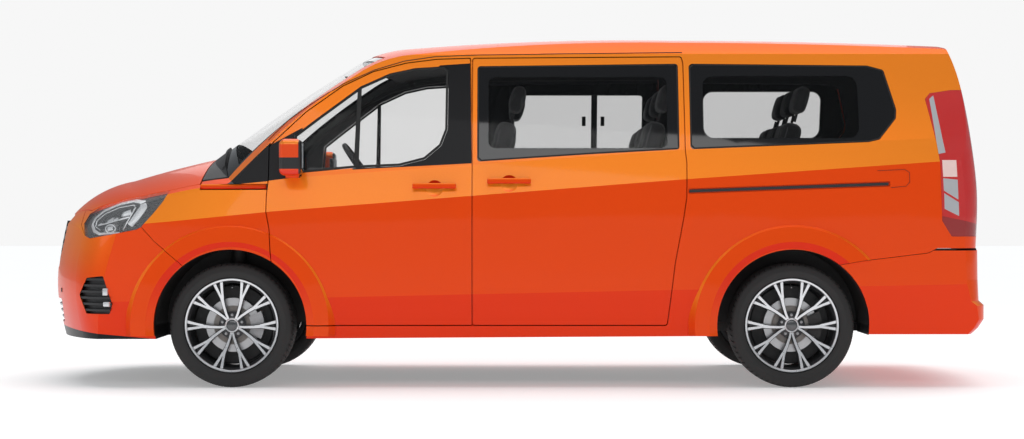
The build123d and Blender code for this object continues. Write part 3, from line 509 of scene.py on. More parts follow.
GRAINED = {
    "alloy_dark": Grain(
        (0.030, 0.031, 0.034), (0.060, 0.062, 0.066), 80, 4, 0.3, 0.2, 0.5, 0.2, 0, 0.4, 0.1
    ),
    "nut_steel": Grain((0.20, 0.20, 0.21), (0.42, 0.42, 0.43), 220, 3, 0.25, 0.2, 0.8, 0, 0, 0, 0.03),
    "cap_grey": Grain((0.05, 0.052, 0.056), (0.09, 0.092, 0.098), 40, 2, 0.25, 0.1, 0.3, 0, 0, 1, 0.03),
    "plate_white": Grain((0.78, 0.78, 0.77), (0.66, 0.66, 0.65), 16, 4, 0.35, 0.1, 0, 0, 0, 0.4, 0.1),
    "piping_grey": Grain((0.09, 0.09, 0.095), (0.16, 0.16, 0.165), 800, 2, 0.6, 0.2, 0, 0, 0, 0, 0.03),
    "seal_rubber": Grain((0.006,) * 3, (0.014,) * 3, 300, 3, 0.6, 0.2, 0, 0, 0.0002, 0, 0.03),
    "caliper_metal": Grain(
        (0.34, 0.34, 0.35), (0.55, 0.55, 0.56), 110, 5, 0.45, 0.25, 0.6, 0.1, 0.0007, 0, 0.03
    ),
    "chassis_black": Grain(
        (0.010, 0.010, 0.011), (0.030, 0.029, 0.028), 45, 5, 0.45, 0.25, 0.1, 0.1, 0.0012, 0, 0.03
    ),
    "suspension_steel": Grain(
        (0.025, 0.025, 0.027), (0.075, 0.072, 0.070), 60, 5, 0.45, 0.25, 0.6, 0.1, 0.0010, 0, 0.03
    ),
    "exhaust_steel": Grain(
        (0.22, 0.19, 0.16), (0.46, 0.44, 0.41), 35, 5, 0.45, 0.25, 0.85, 0.1, 0.0006, 0, 0.03
    ),
    "engine_metal": Grain(
        (0.08, 0.08, 0.085), (0.22, 0.22, 0.225), 90, 5, 0.45, 0.25, 0.75, 0.1, 0.0015, 0, 0.03
    ),
}
finish = {
    maker.__name__: maker()
    for maker in (
        black_trim, grille_black, lamp_silver, lamp_ruby, tail_lamp, tyre_rubber, alloy,
        brake_steel, floor_pan, seat_cloth, cabin_plastic, mirror_shell,
    )
}
for coat, areas in BLACK_AREAS.items():
    finish[coat] = painted(coat, areas)
for coat, glass in GLASSES.items():
    finish[coat] = tinted(coat, *glass)
for coat, grain in GRAINED.items():
    finish[coat] = grained(coat, *grain)
special_finish = {
    "front_door_left": "door_paint",
    "front_door_right": "door_paint",
    "side_panel_left": "pillar_paint",
    "side_panel_right": "pillar_paint",
    "door_glass_left": "door_window_glass",
    "door_glass_right": "door_window_glass",
    "tailgate_glass": "rear_window_glass",
    "tail_lamps": "tail_lamp",
    "front_bumper": "bumper_paint",
    "mirror_left": "mirror_shell",
    "mirror_right": "mirror_shell",
    "knuckle_left": "caliper_metal",
    "knuckle_right": "caliper_metal",
    "underbody": "floor_pan",
    "rear_wheelhouses": "floor_pan",
}


def dress_nodes():
    """Gives every carried-over node the finish of its slot, or its own."""
    for name, piece in nodes.items():
        piece.data.materials.clear()
        piece.data.materials.append(finish[special_finish.get(name, node_slot[name])])


dress_nodes()


# ---- making pieces ----
def wrapped(columns, rows, place):
    """A grid bent into a form: place(column, row) gives the point of each corner."""
    mesh = bmesh.new()
    bmesh.ops.create_grid(mesh, x_segments=columns, y_segments=rows, size=0.5)
    for vertex in mesh.verts:
        column = round((vertex.co.x + 0.5) * columns)
        row = round((vertex.co.y + 0.5) * rows)
        vertex.co = place(column, row)
    bmesh.ops.remove_doubles(mesh, verts=mesh.verts, dist=2e-5)
    return mesh


def ring(profile, steps):
    """Turns (radius, outward) points in mm round a wheel axis, outwards being -Y."""
    def place(column, row):
        radius, outward = profile[column]
        turn = math.tau * row / steps
        return Vector((radius * math.cos(turn), -outward, radius * math.sin(turn))) * MM

    return wrapped(len(profile) - 1, steps, place)


def block(low, high, edge):
    """A block between two corners in mm, with rounded edges."""
    low, high = Vector(low) * MM, Vector(high) * MM
    spread = Matrix.Diagonal((*(high - low), 1.0))
    mesh = bmesh.new()
    bmesh.ops.create_cube(mesh, size=1.0, matrix=Matrix.Translation((low + high) / 2) @ spread)
    bmesh.ops.bevel(
        mesh, geom=mesh.edges[:], offset=edge * MM, segments=3, profile=0.5, affect="EDGES",
        material=-1,
    )
    return mesh


def round_section(half):
    return [(half * math.cos(math.tau * k / 8), half * math.sin(math.tau * k / 8)) for k in range(8)]


def strip_section(half):
    """A flat strip 3 mm high with eased edges, sunk a little in what it lies on."""
    high, low = 0.003, -0.002
    return [(-half, low), (-half, high / 2), (-half * 0.7, high), (half * 0.7, high),
            (half, high / 2), (half, low)]


def spoke_section(half):
    """A machined face with dark flanks that fall away behind it."""
    foot = half + 0.004
    return [(-foot, -0.034), (-foot, -0.009), (-half, 0.0), (half, 0.0), (foot, -0.009),
            (foot, -0.034)]


def bar(stations, section, loop=False):
    """A bar through (point, up, half width) stations, with its ends closed."""
    count = len(stations)
    corners_across = len(section(0.01))

    def place(column, row):
        point, up, half = stations[row % count]
        after = stations[(row + 1) % count if loop else min(row + 1, count - 1)][0]
        before = stations[row - 1 if loop or row else 0][0]
        across = (after - before).cross(up).normalized()
        side, lift = section(half)[column % corners_across]
        return point + across * side + up * lift

    mesh = wrapped(corners_across, count if loop else count - 1, place)
    if not loop:
        bmesh.ops.holes_fill(mesh, edges=mesh.edges[:])
    return mesh


def gather(*meshes):
    """One mesh out of several, which are used up."""
    whole = bmesh.new()
    for mesh in meshes:
        data = bpy.data.meshes.new("share")
        mesh.to_mesh(data)
        mesh.free()
        whole.from_mesh(data)
        bpy.data.meshes.remove(data)
    return whole


def moved(mesh, matrix):
    mesh.transform(matrix)
    return mesh


def show(name, mesh, coat, like, body="body_shell", stands_for=(), sharp=32):
    """Puts a mesh in the scene as a piece that rides on a body."""
    bmesh.ops.recalc_face_normals(mesh, faces=mesh.faces)
    data = bpy.data.meshes.new(name)
    mesh.to_mesh(data)
    mesh.free()
    data.shade_smooth()
    data.set_sharp_from_angle(angle=math.radians(sharp))
    data.materials.append(finish[coat])
    piece = bpy.data.objects.new(name, data)
    bpy.context.scene.collection.objects.link(piece)
    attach(piece, body)
    if stands_for:
        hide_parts(*stands_for)
    return piece


# where each view looks from, for a point (across, up) in metres
VIEWS = {
    "left": lambda across, up: (Vector((across, -2.0, up)), Vector((0, 1, 0))),
    "right": lambda across, up: (Vector((across, 2.0, up)), Vector((0, -1, 0))),
    "front": lambda across, up: (Vector((-4.0, across, up)), Vector((1, 0, 0))),
    "back": lambda across, up: (Vector((4.0, across, up)), Vector((-1, 0, 0))),
    "top": lambda across, up: (Vector((across, up, 3.0)), Vector((0, 0, -1))),
}


def skin(*names):
    """The outer surface of some carried-over nodes, to lay pieces on."""
    corners, faces = [], []
    for name in names:
        mesh = nodes[name].data
        start = len(corners)
        corners += [vertex.co.copy() for vertex in mesh.vertices]
        faces += [[start + index for index in face.vertices] for face in mesh.polygons]
    return BVHTree.FromPolygons(corners, faces)


def touch(surface, view, across, up):
    """Where a view's sight line meets a surface, and the way the surface faces there."""
    origin, direction = VIEWS[view](across * MM, up * MM)
    point, normal, _, _ = surface.ray_cast(origin, direction)
    if point is None:
        return None
    return point, (-normal if normal.dot(direction) > 0 else normal)


def laid(surface, view, path, lift=0.0, loop=False, step=18.0):
    """Stations on a surface under a path of (across, up, half width) in mm."""
    stations = []
    ends = path[1:] + path[:1] if loop else path[1:]
    for start, end in zip(path, ends):
        pieces = max(1, round(math.hypot(end[0] - start[0], end[1] - start[1]) / step))
        last = end is path[-1] and not loop
        for k in range(pieces + (1 if last else 0)):
            share = k / pieces
            across, up, half = (a + (b - a) * share for a, b in zip(start, end))
            met = touch(surface, view, across, up)
            if met:
                stations.append((met[0] + met[1] * lift * MM, met[1], half * MM))
    return stations


def strip(surface, view, path, loop=False, step=18.0):
    """A flat strip laid on a surface under a path."""
    return bar(laid(surface, view, path, loop=loop, step=step), strip_section, loop)


def drawn_in(corners, amount):
    """The corners of an anticlockwise outline moved inwards by an amount."""
    moved_in = []
    for before, here, after in zip(corners[-1:] + corners[:-1], corners, corners[1:] + corners[:1]):
        first = (Vector(here) - Vector(before)).normalized()
        second = (Vector(after) - Vector(here)).normalized()
        inward = Vector((-first.y - second.y, first.x + second.x)).normalized()
        reach = amount / max(0.35, inward.dot(Vector((-first.y, first.x))))
        moved_in.append(tuple(Vector(here) + inward * reach))
    return moved_in


def seated(surface, view, across, up, size, edge, rise=0.0):
    """A rounded block of (width, height, thickness) mm set half into a surface."""
    point, normal = touch(surface, view, across, up)
    half = [side / 2 for side in size]
    mesh = block([-h for h in half], half, edge)
    turn = normal.to_track_quat("Z", "Y").to_matrix().to_4x4()
    return moved(mesh, Matrix.Translation(point + normal * rise * MM) @ turn)


# ---- wheels ----
WHEEL_STEPS = 120


def polar(radius, degrees, outward):
    """A point in mm from a wheel's middle, by its radius and its turn from straight back."""
    turn = math.radians(degrees)
    return Vector((radius * math.cos(turn), -outward, radius * math.sin(turn))) * MM


def tyre_mesh():
    """A tyre with four grooves round it and a block pattern on both shoulders."""
    wall = [(240, 84), (262, 90), (266, 104), (274, 111), (286, 115.5), (298, 117.2), (302, 117.4),
            (305, 116), (318, 114.5), (330, 109), (338, 101), (342, 93)]
    tread = [(343.5, 84), (344.4, 62), (337, 60), (337, 52), (344.8, 50), (345, 22), (337.5, 20),
             (337.5, 12), (345, 10)]
    half = wall + tread
    profile = half + [(radius, -outward) for radius, outward in reversed(half)]
    blocks, turns = 64, (0.0, 0.80, 0.84, 0.96)

    def place(column, row):
        radius, outward = profile[column]
        number, step = divmod(row, 4)
        if step > 1 and radius > 334 and abs(outward) > 55:
            radius -= 6
        skew = 0.0008 * abs(outward) if radius > 320 else 0.03
        turn = math.tau * (number + turns[step]) / blocks + skew
        return Vector((radius * math.cos(turn), -outward, radius * math.sin(turn))) * MM

    return wrapped(len(profile) - 1, 4 * blocks, place)


def in_pairs(lines, section):
    """Bars along (radius, turn, outward, half width) lines, on both sides of five places."""
    return [
        bar(
            [
                (polar(radius, 54 + 72 * pair + lean * turn, outward), Vector((0, -1, 0)), half * MM)
                for radius, turn, outward, half in line
            ],
            section,
        )
        for pair in range(5)
        for lean in (-1, 1)
        for line in lines
    ]


def spoke_pairs():
    """Five pairs of forked spokes, the rim's bright lip and the ring round the cap."""
    trunk = ((40, 6.0, 82, 5.5), (70, 9.0, 84, 6.0), (120, 13.4, 88, 7.0), (168, 16.4, 92, 9.5))
    near_prong = ((158, 15.2, 91.5, 6.0), (205, 14.0, 95.5, 6.5), (251, 13.2, 99, 8.0))
    far_prong = ((158, 17.6, 91.5, 6.0), (205, 20.6, 95.5, 6.5), (251, 22.8, 99, 8.0))
    whole = in_pairs((trunk, near_prong, far_prong), spoke_section)
    lip = [(243, 92), (246, 98), (250, 101.5), (258, 102.5), (260.5, 100), (260.5, 92), (243, 92)]
    collar = [(31.5, 70), (31.5, 85), (35, 87), (39, 84), (41, 70)]
    return gather(*whole, ring(lip, WHEEL_STEPS), ring(collar, 48))


def rim_barrel():
    """The dark well of the rim, its hub and the webs between the prongs."""
    barrel = [(244, 100), (236, 88), (232, 30), (228, 10), (228, -94), (244, -102), (259, -102),
              (259, -96), (241, -94), (241, 95), (244, 100)]
    hub = [(0, 40), (74, 42), (76, 60), (60, 70), (44, 78), (31, 80), (0, 80)]
    web = ((165, 16.4, 70, 4), (205, 17.3, 74, 10), (240, 18.0, 80, 18))
    webs = in_pairs((web,), strip_section)
    return gather(ring(barrel, WHEEL_STEPS), ring(hub, 60), *webs)


def wheel_nuts():
    """Five hexagon nuts and the valve."""
    nuts, onto_axle = [], Matrix.Rotation(math.radians(90), 4, "X")
    for k in range(5):
        nut = bmesh.new()
        bmesh.ops.create_cone(
            nut, cap_ends=True, segments=6, radius1=10.5 * MM, radius2=8.5 * MM, depth=22 * MM
        )
        bmesh.ops.bevel(
            nut, geom=nut.edges[:], offset=1.2 * MM, segments=2, profile=0.5, affect="EDGES",
            material=-1,
        )
        nuts.append(moved(nut, Matrix.Translation(polar(57, 90 + 72 * k, 70)) @ onto_axle))
    valve = [
        (polar(radius, 90, outward), Vector((1, 0, 0)), half * MM)
        for radius, outward, half in ((222, 40, 4), (208, 74, 3))
    ]
    return gather(*nuts, bar(valve, round_section))


def cap_disc():
    return ring([(0, 88.5), (12, 88), (24, 86), (31.6, 82), (31.6, 76)], 48)


def dust_shield():
    """The pressed plate behind the brake disc, turned back at its edge."""
    return ring([(112, -10), (112, -8), (216, -11), (221, -15), (218, -15), (112, -10)], WHEEL_STEPS)


def build_wheels():
    for axle in ("front", "rear"):
        for side_name, side in SIDES:
            corner = f"{axle}_{side_name}"
            low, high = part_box(f"{corner}_tyre")
            middle = (Vector(low) + Vector(high)) / 2
            stand = Matrix.Translation(middle) @ Matrix.Diagonal((1, -side, 1, 1))
            body = f"{corner}_wheel"
            rim = f"{corner}_rim"
            carrier = f"knuckle_{side_name}" if axle == "front" else "body_shell"
            for name, make, on_body, coat, replaced, sharp in (
                ("tyre_tread", tyre_mesh, body, "tyre_rubber", (f"{corner}_tyre",), 28),
                ("spokes", spoke_pairs, body, "alloy", (rim,), 28),
                ("rim_well", rim_barrel, body, "alloy_dark", (), 28),
                ("nuts", wheel_nuts, body, "nut_steel", (), 28),
                ("cap", cap_disc, body, "cap_grey", (), 28),
                ("dust_shield", dust_shield, carrier, "black_trim", (), 32),
            ):
                mesh = moved(make(), stand)
                show(f"{corner}_{name}", mesh, coat, rim, on_body, replaced, sharp)


# ---- seats: cloth blown up over its foam, then drawn in along the sewn lines ----
SeatRow = namedtuple("SeatRow", "node x places width")
SEAT_ROWS = (
    SeatRow("front_seats", -420, (-455, 455), 520),
    SeatRow("middle_seats", 420, (-525, 0, 525), 480),
    SeatRow("rear_seats", 1210, (-400, 0, 400), 390),
)
SEAT_TOP = 800
BACK_LEAN = math.radians(16)
# foam sizes in mm: depth by height, taking the row's width less a margin, and the head's block
CUSHION, BACK, HEAD = (482, 112), (102, 602), (74, 234, 154)
FOAM_EDGE = 34
BOLSTER = 82
AIR_PRESSURE = 4.0
AIR_FRAMES = 20


def settle(rig):
    """Keeps what a piece's modifiers have made of it, and drops them."""
    graph = bpy.context.evaluated_depsgraph_get()
    made = bpy.data.meshes.new_from_object(rig.evaluated_get(graph))
    rig.modifiers.clear()
    rig.data = made


def blown_up(forms, cap=0.009):
    """Each (mesh, cell) as a closed cloth filled with air, no point moving past the cap."""
    rigs = []
    for mesh, cell in forms:
        data = bpy.data.meshes.new("foam")
        mesh.to_mesh(data)
        mesh.free()
        rig = bpy.data.objects.new("foam", data)
        bpy.context.scene.collection.objects.link(rig)
        cells = rig.modifiers.new("cells", "REMESH")
        cells.mode = "VOXEL"
        cells.voxel_size = cell
        settle(rig)
        rigs.append(rig)
    starts = [[vertex.co.copy() for vertex in rig.data.vertices] for rig in rigs]
    for rig in rigs:
        cloth = rig.modifiers.new("air", "CLOTH").settings
        cloth.use_pressure = True
        cloth.uniform_pressure_force = AIR_PRESSURE
        cloth.effector_weights.gravity = 0.0
    for number in range(1, AIR_FRAMES + 1):
        bpy.context.scene.frame_set(number)
    for rig in rigs:
        settle(rig)
    pads = []
    for rig, start in zip(rigs, starts):
        for vertex, place in zip(rig.data.vertices, start):
            shift = vertex.co - place
            vertex.co = place + shift * min(1.0, cap / max(shift.length, 1e-9))
        pad = bmesh.new()
        pad.from_mesh(rig.data)
        bpy.data.objects.remove(rig)
        pads.append(pad)
    return pads


def sewn(pad, front, lines, depth=0.008, spread=0.010):
    """Draws a pad in where its front side is crossed by (axis, place) lines."""
    pad.normal_update()
    shifts = []
    for vertex in pad.verts:
        facing = max(0.0, vertex.normal.dot(front))
        pull = max(math.exp(-(((vertex.co[axis] - place) / spread) ** 2)) for axis, place in lines)
        shifts.append(vertex.normal * (-depth * pull * facing))
    for vertex, shift in zip(pad.verts, shifts):
        vertex.co += shift
    return pad


def piping(pad, axis, level):
    """A cord sewn round a pad where a plane across the axis cuts it."""
    surface = BVHTree.FromBMesh(pad)
    others = [k for k in range(3) if k != axis]
    stations = []
    for k in range(64):
        turn = math.tau * k / 64
        away = Vector((0, 0, 0))
        away[others[0]], away[others[1]] = math.cos(turn), math.sin(turn)
        origin = away * 2.0
        origin[axis] = level
        point = surface.ray_cast(origin, -away)[0]
        if point is not None:
            stations.append((point, away, 0.0034))
    return bar(stations, round_section, loop=True)


def foam(depth, width, height, edge=FOAM_EDGE):
    half = (depth / 2, width / 2, height / 2)
    return block([-side for side in half], half, edge)


def build_seats():
    forms = []
    for row in SEAT_ROWS:
        forms.append((foam(CUSHION[0], row.width - 18, CUSHION[1]), 0.012))
        forms.append((foam(BACK[0], row.width - 28, BACK[1]), 0.012))
    forms.append((foam(*HEAD, edge=28), 0.008))
    pads = blown_up(forms)
    head = pads.pop()
    up, forward = Vector((0, 0, 1)), Vector((-1, 0, 0))
    cords = []
    for row, cushion, back in zip(SEAT_ROWS, pads[0::2], pads[1::2]):
        edge = (row.width / 2 - BOLSTER) * MM
        sewn(cushion, up, [(1, -edge), (1, edge), (0, 0.06), (0, -0.11)])
        sewn(back, forward, [(1, -edge), (1, edge), (2, 0.17), (2, -0.04), (2, -0.20)])
        cords.append((piping(cushion, 2, 0.040), piping(back, 0, -0.030)))
    whole_piping = []
    for row, cushion, back, (low_cord, high_cord) in zip(SEAT_ROWS, pads[0::2], pads[1::2], cords):
        for number, y in enumerate(row.places, 1):
            hinge = Matrix.Translation(Vector((row.x + 215, y, SEAT_TOP + 100)) * MM)
            hinge = hinge @ Matrix.Rotation(BACK_LEAN, 4, "Y")
            at_cushion = Matrix.Translation(Vector((row.x - 40, y, SEAT_TOP + 65)) * MM)
            at_back = hinge @ Matrix.Translation(Vector((0, 0, 0.310)))
            at_head = hinge @ Matrix.Translation(Vector((0.010, 0, 0.750)))
            for what, pad, place in (
                ("cushion", cushion, at_cushion), ("back", back, at_back), ("head", head, at_head),
            ):
                mesh = moved(pad.copy(), place)
                name = f"{row.node[:-1]}_{number}_{what}"
                piece = show(name, mesh, "seat_cloth", row.node, stands_for=(row.node,), sharp=180)
            whole_piping += [moved(low_cord.copy(), at_cushion), moved(high_cord.copy(), at_back)]
    show("seat_piping", gather(*whole_piping), "piping_grey", "front_seats")


# ---- windows: seals, the front doors' division bar, the frames of the far windows ----
FRONT_WINDOW = [(-900, 1214), (-640, 1226), (-500, 1262), (-410, 1338), (-375, 1430), (-372, 1760),
                (-400, 1785), (-560, 1775), (-700, 1745), (-860, 1672), (-1090, 1500), (-1222, 1398),
                (-1245, 1182)]
SLIDING_WINDOW = [(-212, 1250), (400, 1290), (905, 1318), (905, 1800), (-212, 1786)]
QUARTER_WINDOW = [(965, 1318), (1950, 1358), (2010, 1372), (2105, 1490), (2110, 1540), (2050, 1765),
                  (1960, 1790), (965, 1800)]


def seal_round(surface, view, corners, half=4.0):
    path = [(x, z, half) for x, z in drawn_in(corners, half + 1.5)]
    return strip(surface, view, path, loop=True)


def build_windows():
    for side_name, side in SIDES:
        door_glass = skin(f"door_glass_{side_name}")
        panes = skin("side_windows")
        division = [(-880, 1218, 14), (-866, 1664, 11)]
        show(
            f"front_window_trim_{side_name}",
            gather(
                seal_round(door_glass, side_name, FRONT_WINDOW, 6.5),
                strip(door_glass, side_name, division),
            ),
            "seal_rubber", "door_seals", f"front_door_{side_name}",
        )
        show(
            f"side_window_seals_{side_name}",
            gather(
                seal_round(panes, side_name, SLIDING_WINDOW),
                seal_round(panes, side_name, QUARTER_WINDOW),
            ),
            "seal_rubber", "door_seals",
        )
    opening = [(-8, 1372, 4), (815, 1372, 4), (815, 1726, 4), (-8, 1726, 4)]
    post = [(506, 1374, 19), (506, 1724, 19)]
    panes = skin("side_windows")
    frame_mesh = gather(
        strip(panes, "right", opening, loop=True),
        strip(panes, "right", post),
        seated(panes, "right", 440, 1560, (24, 60, 16), 3),
        seated(panes, "right", 560, 1560, (24, 60, 16), 3),
    )
    show("opening_pane_frame", frame_mesh, "seal_rubber", "door_seals")


# ---- lamps ----
def build_lamps():
    ring_light = [(-2180, 858, 4), (-2300, 850, 7), (-2340, 866, 9), (-2362, 900, 9),
                  (-2350, 936, 10), (-2300, 978, 13), (-2200, 1018, 16), (-2110, 1034, 17),
                  (-2060, 1026, 17), (-2052, 1000, 20), (-2088, 946, 20), (-2124, 898, 16)]
    inner_line = [(-2300, 872, 2.4), (-2336, 890, 2.4), (-2334, 922, 2.4), (-2290, 960, 2.4),
                  (-2200, 996, 2.4), (-2110, 1010, 2.4), (-2098, 996, 3.4), (-2160, 876, 3.4)]
    ridge = [(-2318, 897, 3), (-2250, 912, 4), (-2130, 944, 5)]
    # painted glints: bright silver dashes on the lamp bowl where glints show
    painted_glints = [(-2306, 903, 6, 10), (-2240, 926, 12, 18), (-2205, 932, 8, 12), (-2146, 962, 15, 26)]
    for side_name, side in SIDES:
        bowl = skin("headlamps")
        lights = [
            strip(bowl, side_name, ring_light),
            strip(bowl, side_name, inner_line),
            strip(bowl, side_name, ridge),
        ]
        for x, z, half, length in painted_glints:
            dash = [(x - length, z - length / 3, half * 0.6), (x, z, half),
                    (x + length, z + length / 3, half)]
            lights.append(strip(bowl, side_name, dash, step=6))
        show(f"day_light_{side_name}", gather(*lights), "lamp_silver", "headlamps")
        circle = [
            (-2236 + 30 * math.cos(math.tau * k / 16), 880 + 22 * math.sin(math.tau * k / 16), 4)
            for k in range(16)
        ]
        eye = [(-2252, 880, 11), (-2220, 882, 11)]
        projector = gather(
            strip(bowl, side_name, circle, loop=True), strip(bowl, side_name, eye, step=6)
        )
        show(f"projector_{side_name}", projector, "lamp_silver", "headlamps")
        rack = skin("fog_lamps")
        fog = gather(
            seated(rack, side_name, -2258, 532, (30, 40, 16), 4, 2),
            seated(rack, side_name, -2250, 464, (40, 26, 16), 4, 2),
        )
        show(f"fog_light_{side_name}", fog, "lamp_silver", "headlamps")


# ---- outside trim ----
ROOF_SEAM = [(-1372, 1372), (-1268, 1483), (-1122, 1585), (-955, 1687), (-787, 1764), (-619, 1815),
             (-450, 1840), (-204, 1850), (400, 1858), (930, 1864)]
# an arch liner's section: mm past its radius, and mm from the vehicle's middle
LINER_SECTION = [(-1, 930), (-1, 560), (2, 560), (2, 930), (-1, 930)]
RAIL_COVER = [(1990, 1199), (2140, 1206), (2166, 1190), (2168, 1137), (2148, 1114), (2064, 1106)]


def arch_liner(axle_x, side):
    def place(column, row):
        past, reach = LINER_SECTION[column]
        radius, turn = ARCH_LINER_RADIUS + past, math.radians(-7 + 194 * row / 64)
        across, up = radius * math.cos(turn), radius * math.sin(turn)
        return Vector((axle_x + across, side * reach, AXLE_HEIGHT + up)) * MM

    return wrapped(len(LINER_SECTION) - 1, 64, place)


def corner_seal(bumper, side_name, side):
    """The cord that closes the gap over a rear bumper's corner."""
    rim = [touch(bumper, side_name, x, 752) for x in (2300, 2334, 2368, 2400, 2424)]
    rim += [touch(bumper, "back", side * y, 752) for y in (835, 805, 775, 752)]
    cord = [
        (point - normal * 0.010 + Vector((0, 0, 0.0135)), normal, 0.0062)
        for point, normal in filter(None, rim)
    ]
    return bar(cord, round_section)


def build_outside_trim():
    for side_name, side in SIDES:
        shell = skin(f"side_panel_{side_name}", "roof_panel", f"front_door_{side_name}")
        seam = [(x, z, 2.0) for x, z in ROOF_SEAM]
        cover = [(x, z, 1.0) for x, z in RAIL_COVER]
        lines = gather(
            strip(shell, side_name, seam),
            strip(shell, side_name, cover),
        )
        show(f"body_seams_{side_name}", lines, "seal_rubber", "door_seals")
        axles = (AXLES_MIDDLE - HALF_WHEELBASE, AXLES_MIDDLE + HALF_WHEELBASE)
        liners = gather(*[arch_liner(x, side) for x in axles])
        show(f"arch_liners_{side_name}", liners, "black_trim", "grille")
        foot = block((-1742, -926, 1098), (-1378, -866, 1127), 6)
        foot = moved(foot, Matrix.Diagonal((1, -side, 1, 1)))
        show(f"pillar_foot_{side_name}", foot, "body_paint", "roof_panel")
    nose, tail, tail_pane = skin("front_bumper"), skin("tailgate"), skin("tailgate_glass")
    rear_bumper = skin("rear_bumper")
    for side_name, side in SIDES:
        seal = corner_seal(rear_bumper, side_name, side)
        show(f"bumper_seal_{side_name}", seal, "seal_rubber", "door_seals")
    plate = seated(tail, "back", 0, 1030, (520, 112, 6), 2.5, 5)
    show("blank_plate", plate, "plate_white", "tailgate", "tailgate")
    gate = gather(
        strip(tail, "back", [(-230, 1128, 14), (230, 1128, 14)]),
        seated(tail, "back", 0, 1122, (120, 20, 24), 6, 4),
    )
    show("tailgate_handle", gate, "black_trim", "grille", "tailgate")
    arm = laid(tail_pane, "back", [(0, 1368, 9), (-60, 1374, 7), (-420, 1430, 4)], lift=10)
    blade = laid(tail_pane, "back", [(-150, 1378, 4), (-560, 1446, 4)], lift=3)
    wiper = gather(
        bar(arm, round_section),
        bar(blade, round_section),
        seated(tail_pane, "back", 0, 1366, (44, 36, 26), 8, 6),
    )
    show("rear_wiper", wiper, "black_trim", "wipers", "tailgate")
    stop_light = strip(tail, "back", [(-150, 1872, 9), (150, 1872, 9)])
    show("high_brake_light", stop_light, "lamp_ruby", "tail_lamps", "tailgate")
    reflectors = gather(*[
        strip(rear_bumper, "back", [(side * 560, 420, 16), (side * 680, 420, 16)])
        for _, side in SIDES
    ])
    show("rear_reflectors", reflectors, "lamp_ruby", "tail_lamps")
    sensors = gather(*[
        seated(surface, view, y, z, (24, 24, 6), 2.5, 0)
        for surface, view, z in ((rear_bumper, "back", 560), (nose, "front", 530))
        for y in (-560, 560)
    ])
    show("parking_sensors", sensors, "seal_rubber", "door_seals")


# ---- cab ----
def build_cab():
    dash = skin("dashboard")
    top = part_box("dashboard")[1][2] / MM
    screen = block((-1100, -115, top - 12), (-1076, 115, top + 128), 5)
    show("cab_screen", screen, "grille_black", "grille")
    cluster = gather(
        block((-1190, -600, top - 20), (-1010, -310, top + 62), 22),
        *[seated(dash, "top", -1060, y, (44, 96, 20), 5, 2) for y in (-700, -190, 190, 700)],
    )
    show("cab_cluster", cluster, "cabin_plastic", "dashboard")
    lever = gather(
        bar(
            [
                (Vector((-1.03, 0, 0.74)), Vector((1, 0, 0)), 0.008),
                (Vector((-1.05, 0, 0.86)), Vector((1, 0, 0)), 0.007),
            ],
            round_section,
        ),
        block((-1082, -26, 846), (-1028, 26, 912), 18),
        block((-1100, -80, 748), (-960, 80, 768), 8),
    )
    show("gear_lever", lever, "grille_black", "grille")
    pane = skin("windscreen")
    hung = touch(pane, "top", -1010, 0)[0]
    stem_foot = hung + Vector((0.035, 0, -0.07))
    ahead = Vector((1, 0, 0))
    stem = [(hung - Vector((0, 0, 0.006)), ahead, 0.010), (stem_foot, ahead, 0.008)]
    mirror = gather(
        bar(stem, round_section),
        moved(block((-14, -125, -34), (14, 125, 34), 12),
              Matrix.Translation(stem_foot) @ Matrix.Rotation(math.radians(-8), 4, "Y")),
    )
    show("cab_mirror", mirror, "black_trim", "grille")


build_wheels()
build_seats()
build_windows()
build_lamps()
build_outside_trim()
build_cab()


# ---- camera, lights and floor ----
SoftBox = namedtuple("SoftBox", "name place aim size power")
SOFT_BOXES = (
    SoftBox("roof_box", (0.0, -2.5, 6.5), (0.0, -0.6, 0.6), (9.0, 2.2), 70.0),
    SoftBox("side_box", (0.0, -10.0, 5.4), (0.0, -0.5, 1.0), (12.0, 1.6), 170.0),
    SoftBox("nose_box", (-9.0, -4.0, 3.4), (-2.0, 0.0, 0.8), (3.0, 3.0), 50.0),
    SoftBox("far_box", (0.0, 8.0, 4.5), (0.0, 0.0, 1.2), (8.0, 3.0), 80.0),
)


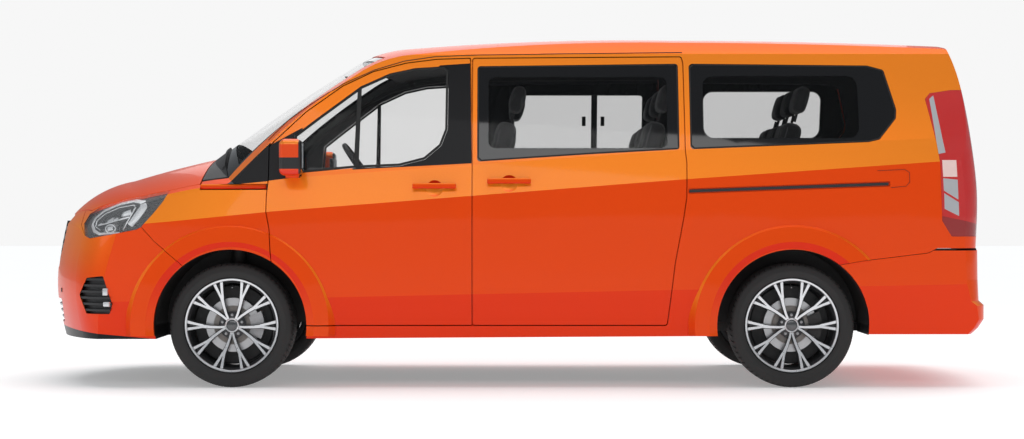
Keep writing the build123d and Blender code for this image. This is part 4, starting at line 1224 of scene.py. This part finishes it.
def light_the_air():
    """A dim grey room that is seen as a pale backdrop."""
    world = bpy.data.worlds.new("studio_air")
    world.use_nodes = True
    tree = world.node_tree
    backdrop = tree.nodes.new("ShaderNodeBackground")
    backdrop.inputs["Color"].default_value = (0.93, 0.93, 0.93, 1.0)
    room = tree.nodes["Background"]
    room.inputs["Color"].default_value = (0.90, 0.95, 1.0, 1.0)
    room.inputs["Strength"].default_value = 0.30
    chooser = tree.nodes.new("ShaderNodeMixShader")
    ray = tree.nodes.new("ShaderNodeLightPath")
    tree.links.new(ray.outputs["Is Camera Ray"], chooser.inputs["Fac"])
    tree.links.new(room.outputs["Background"], chooser.inputs[1])
    tree.links.new(backdrop.outputs["Background"], chooser.inputs[2])
    tree.links.new(chooser.outputs["Shader"], tree.nodes["World Output"].inputs["Surface"])
    bpy.context.scene.world = world


def studio():
    camera = bpy.data.objects.new("camera", bpy.data.cameras.new("camera"))
    camera.data.lens = 72.53
    camera.data.sensor_width = 36.0
    camera.data.clip_end = 200.0
    camera.location = (-0.0194, -12.33, 0.931)
    camera.rotation_euler = (math.radians(90), 0, 0)
    bpy.context.scene.collection.objects.link(camera)
    bpy.context.scene.camera = camera

    bpy.context.scene.view_settings.view_transform = "Standard"
    light_the_air()
    sun = bpy.data.objects.new("sky_light", bpy.data.lights.new("sky_light", "SUN"))
    sun.data.energy = 1.9
    sun.data.angle = math.radians(70)
    sun.rotation_euler = (math.radians(-18), math.radians(12), 0)
    bpy.context.scene.collection.objects.link(sun)

    for box in SOFT_BOXES:
        data = bpy.data.lights.new(box.name, "AREA")
        data.shape = "RECTANGLE"
        data.size, data.size_y = box.size
        data.energy = box.power
        light = bpy.data.objects.new(box.name, data)
        light.location = box.place
        sight = Vector(box.aim) - Vector(box.place)
        light.rotation_euler = sight.to_track_quat("-Z", "Y").to_euler()
        bpy.context.scene.collection.objects.link(light)

    mesh = bmesh.new()
    bmesh.ops.create_grid(mesh, x_segments=1, y_segments=1, size=60.0)
    data = bpy.data.meshes.new("studio_floor")
    mesh.to_mesh(data)
    mesh.free()
    floor = bpy.data.objects.new("studio_floor", data)
    data.materials.append(studio_floor_finish())
    bpy.context.scene.collection.objects.link(floor)


studio()
